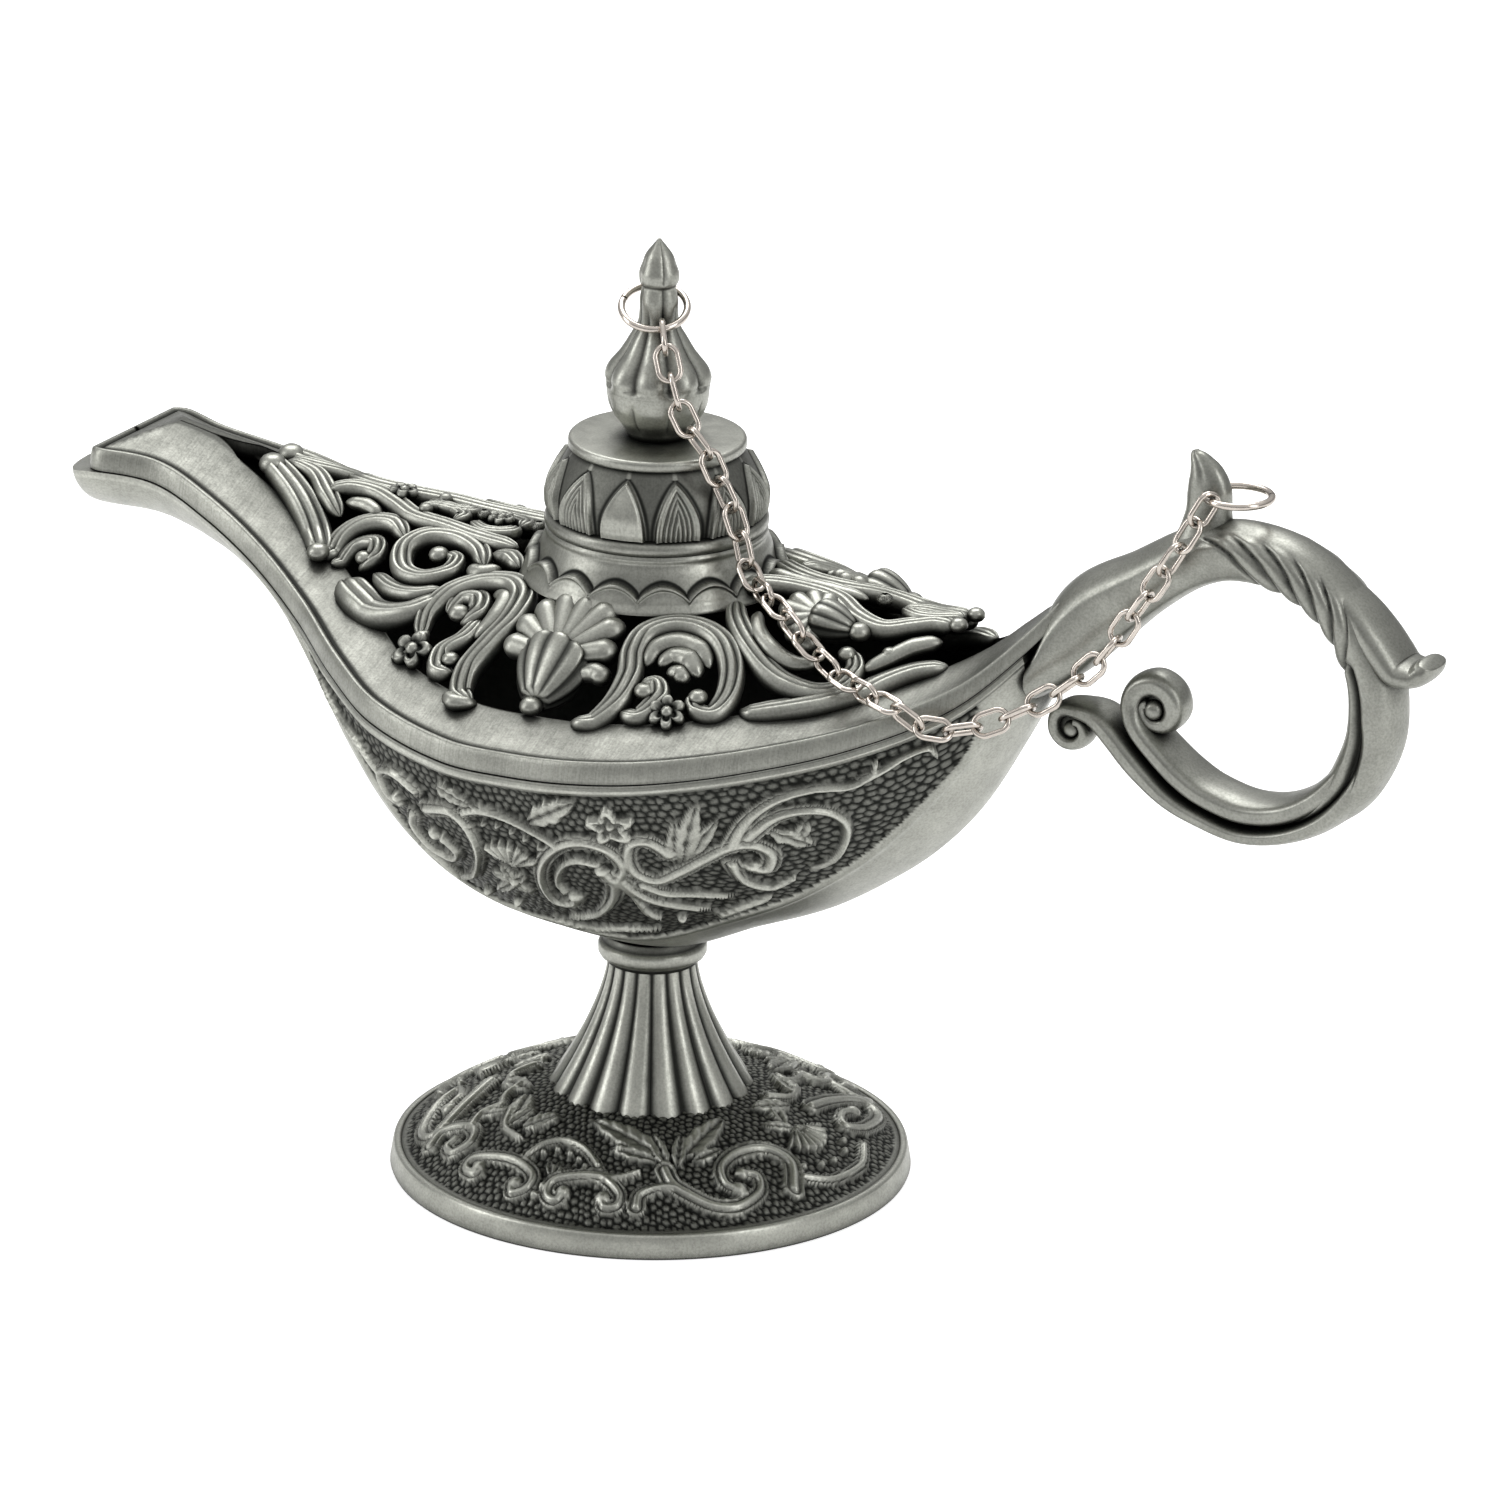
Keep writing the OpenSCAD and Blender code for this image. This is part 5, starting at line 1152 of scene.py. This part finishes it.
def strand_form(a, t):
    """A rounded strand with a shallow hollow along its side."""
    hollow = bump(np.cos(a), 0, 0.35) * (np.abs(np.sin(a)) > 0.3)
    # The hollow along the strand goes darker: patina and painted shade.
    return 1 - 0.05 * hollow, 1 - 0.18 * hollow


def rolled(middle, start, turn, *steps):
    """Bar points from each (radius, thickness, depth), one turn in degrees after the other round a scroll."""
    return [polar(r, start + i * turn, *middle) + [t, d] for i, (r, t, d) in enumerate(steps)]


# The inner strand rolls up into the big scroll, the outer one runs on to the small scroll
BIG, SMALL = (loop_x - 8.25, loop_h - 3.2), (loop_x - 15.5, loop_h - 6.15)
bar([arc(-14, loop_r - 0.7) + [1.2, 4.4], arc(-33, loop_r - 0.85) + [1.95, 5.05],
     arc(-52, loop_r - 0.9) + [2.1, 5.25], arc(-71, loop_r - 0.9) + [2.15, 5.2],
     arc(-90, loop_r - 0.95) + [2.15, 5.2], arc(-109, loop_r - 1.05) + [2.1, 5.1], [48.2, 42.95, 2.1, 5],
     [46.1, 44.5, 2, 4.8], [44.2, 46.3, 1.9, 4.5],
     *rolled(BIG, 180, -45, (1.85, 2.05, 3.9), (1.88, 2.1, 3.5), (1.88, 2.1, 3.2), (1.82, 2.05, 3),
             (1.75, 1.9, 2.9), (1.6, 1.55, 2.8), (1.35, 1.35, 2.8), (1.1, 1.2, 2.9), (0.85, 1.1, 3)),
     *rolled(BIG, -230, 0, (0.5, 1.1, 3.2))], strand_form, 10, ends=True)
bar([arc(-14, loop_r + 0.6) + [1.2, 4.6], arc(-33, loop_r + 0.75) + [1.9, 5.2],
     arc(-52, loop_r + 0.85) + [1.75, 5.4], arc(-71, loop_r + 0.85) + [1.55, 5.4],
     arc(-90, loop_r + 0.9) + [1.5, 5.4], arc(-109, loop_r + 0.8) + [1.6, 5.3], [47, 41.2, 1.8, 5.1],
     [44.3, 43.1, 2.1, 4.9], [42.2, 45, 2.1, 4.6], [40.5, 46.3, 1.8, 4.3],
     *rolled(SMALL, 72, 46, (1.6, 1.45, 3.6), (1.5, 1.3, 3.2)),
     *rolled(SMALL, 160, 45, (1.5, 1.25, 2.9), (1.5, 1.25, 2.7), (1.45, 1.25, 2.6), (1.35, 1.2, 2.6),
             (1.2, 1.1, 2.6), (0.95, 1.0, 2.7), (0.6, 0.95, 2.8))], strand_form, 10, ends=True)

# The eye of each scroll, and behind it a dark disc: painted shade inside the scroll
for (x, z), r, depth in ((BIG, 0.95, 1.65), (SMALL, 0.8, 1.45)):
    a = np.linspace(0, math.pi, 13)[1:-1, None]
    b = circle(28)
    eye = r * np.sin(a) ** 0.7
    handle.tube(spread(x + 0.1 + eye * np.cos(b), -depth * np.cos(a), z - 0.1 + eye * np.sin(b)))
    y = np.array([[-0.8], [0.8]])
    # The disc is near black: painted shade.
    handle.tube(spread(x + r * 2 * np.cos(b), y, z + r * 2 * np.sin(b)), np.full((2, len(b)), 0.08))
horn = [[horn_x - 0.2, horn_z - 4.2, 5, 4.2], [horn_x - 0.1, horn_z - 3, 4.2, 3.4],
        [horn_x, horn_z - 1.6, 3.7, 2.6], [horn_x, horn_z, 3.6, 2.4], [horn_x - 0.3, horn_z + 1.2, 3.0, 2.1],
        [horn_x - 0.75, horn_z + 2.1, 2.0, 1.5], [horn_x - 1.2, horn_z + 2.75, 1.1, 0.9],
        [horn_x - 1.35, horn_z + 3.1, 0.5, 0.4]]


def horn_form(a, t):
    crease = bump(np.cos(a), -0.05, 0.16) * (np.abs(np.sin(a)) > 0.5) * step((t - 0.45) / 0.2)
    # The crease goes dark: patina and painted shade.
    return 1 - 0.1 * crease, 1 - 0.6 * crease


bar(horn, horn_form)
leaf = [arc(66, loop_r + 0.7) + [1.6, 3.4], arc(52, loop_r + 0.9) + [1.9, 4.0],
        arc(40, loop_r + 1.15) + [2.3, 4.6], arc(30, loop_r + 1.4) + [2.6, 5.1],
        arc(22.5, loop_r + 1.8) + [2.6, 5.2], [loop_reach - 0.4, loop_h + 3.9, 2.4, 5.1],
        [loop_reach + 0.5, loop_h + 3.7, 2.1, 4.9], [loop_reach + 1.3, loop_h + 3.8, 1.9, 4.5],
        [loop_reach + 2.0, loop_h + 4.4, 1.8, 4], [loop_reach + 2.3, loop_h + 5.0, 1.4, 3.2]]
bar(leaf, plain_form, ends=True)
dress(handle.object("handle_casting"), smooth_metal, "lamp", "handle")

# The wire and the screws keep their own solids
for name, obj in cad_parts.items():
    is_wire = name.startswith("chain_") or name.endswith("_ring")
    if is_wire or name.endswith(("_screw", "_washer")):
        obj.data.materials.clear()
        obj.data.materials.append(chain_metal if is_wire else steel_metal)

# Floor and world: white for the camera and in reflections, plainer as light
WHITE = (1, 1, 1, 1)
FLOOR, SINK = 1.6 / MM, 0.02
SEEN, REFLECTED, PLAIN = 0.75, 0.5, 0.62
corners = [[x, y, -SINK] for x, y in ((-FLOOR, -FLOOR), (FLOOR, -FLOOR), (FLOOR, FLOOR), (-FLOOR, FLOOR))]
floor = build("floor", corners, [np.array([[0, 1, 2, 3]])])
mat, tree = shader("floor_white")
matt = node(tree, "ShaderNodeBsdfPrincipled", Base_Color=(0.82, 0.82, 0.82, 1), Roughness=0.9,
            Specular_IOR_Level=0.1)
ray = node(tree, "ShaderNodeLightPath").outputs
reflected = math_node(tree, "MAXIMUM", ray["Is Glossy Ray"], ray["Is Transmission Ray"])
glow = node(tree, "ShaderNodeEmission", Color=WHITE, Strength=math_node(
    tree, "MAXIMUM", times(tree, ray["Is Camera Ray"], SEEN), times(tree, reflected, REFLECTED)))
both = node(tree, "ShaderNodeAddShader", _0=matt.outputs[0], _1=glow.outputs[0])
node(tree, "ShaderNodeOutputMaterial", Surface=both.outputs[0])
floor.data.materials.append(mat)

world = bpy.data.worlds.new("studio")
bpy.context.scene.world = world
world.use_nodes = True
tree = world.node_tree
tree.nodes.clear()
ray = node(tree, "ShaderNodeLightPath").outputs
split = node(tree, "ShaderNodeSeparateXYZ", Vector=node(tree, "ShaderNodeTexCoord").outputs["Generated"])
height_glow = ramp(tree, split.outputs["Z"], -0.05, 0.85, 0.2, 0.86)
plain, gloss, white = (node(tree, "ShaderNodeBackground", Color=WHITE, Strength=s).outputs[0] for s in (
    times(tree, height_glow, PLAIN), height_glow, 1.0))
lit = node(tree, "ShaderNodeMixShader", _0=ray["Is Glossy Ray"], _1=plain, _2=gloss).outputs[0]
seen = math_node(tree, "MAXIMUM", ray["Is Camera Ray"], ray["Is Transmission Ray"])
shown = node(tree, "ShaderNodeMixShader", _0=seen, _1=lit, _2=white)
node(tree, "ShaderNodeOutputWorld", Surface=shown.outputs[0])


# Lamps and camera
AIM = Vector((0, 0, 0.035))


def lamp(name, place, size, power):
    data = bpy.data.lights.new(name, "AREA")
    data.shape = "RECTANGLE"
    data.size, data.size_y = size
    data.energy = power
    obj = bpy.data.objects.new(name, data)
    obj.location = place
    obj.rotation_euler = (AIM - Vector(place)).to_track_quat("-Z", "Y").to_euler()
    bpy.context.scene.collection.objects.link(obj)
lamp("softbox_top", (-0.20, 0.25, 0.60), (0.5, 0.4), 2.4)
lamp("softbox_left", (-0.50, -0.42, 0.30), (0.2, 0.5), 1.3)
lamp("softbox_right", (0.60, -0.10, 0.30), (0.2, 0.5), 1.0)

AZIMUTH, ELEVATION, ROLL, DISTANCE = math.radians(30), math.radians(20.13), math.radians(0.74), 0.9
back = Vector((math.sin(AZIMUTH) * math.cos(ELEVATION), -math.cos(AZIMUTH) * math.cos(ELEVATION),
               math.sin(ELEVATION)))
right = Vector((math.cos(AZIMUTH), math.sin(AZIMUTH), 0))
upward = back.cross(right)
MIDDLE, SHIFT_RIGHT, SHIFT_UP = Vector((0, 0, 0.033)), 0.007632, 0.002376
LENS, SENSOR, NEAREST, FARTHEST = 270, 36, 0.05, 10
aim = MIDDLE + right * SHIFT_RIGHT + upward * SHIFT_UP
cam_data = bpy.data.cameras.new("camera")
cam_data.lens, cam_data.sensor_width, cam_data.sensor_fit = LENS, SENSOR, "HORIZONTAL"
cam_data.clip_start, cam_data.clip_end = NEAREST, FARTHEST
camera = bpy.data.objects.new("camera", cam_data)
tilt_right = right * math.cos(ROLL) + upward * math.sin(ROLL)
tilt_up = upward * math.cos(ROLL) - right * math.sin(ROLL)
turn = Matrix((tilt_right, tilt_up, back)).transposed().to_4x4()
camera.matrix_world = Matrix.Translation(aim + back * DISTANCE) @ turn
bpy.context.scene.collection.objects.link(camera)
bpy.context.scene.camera = camera
bpy.context.scene.view_settings.view_transform = "Standard"
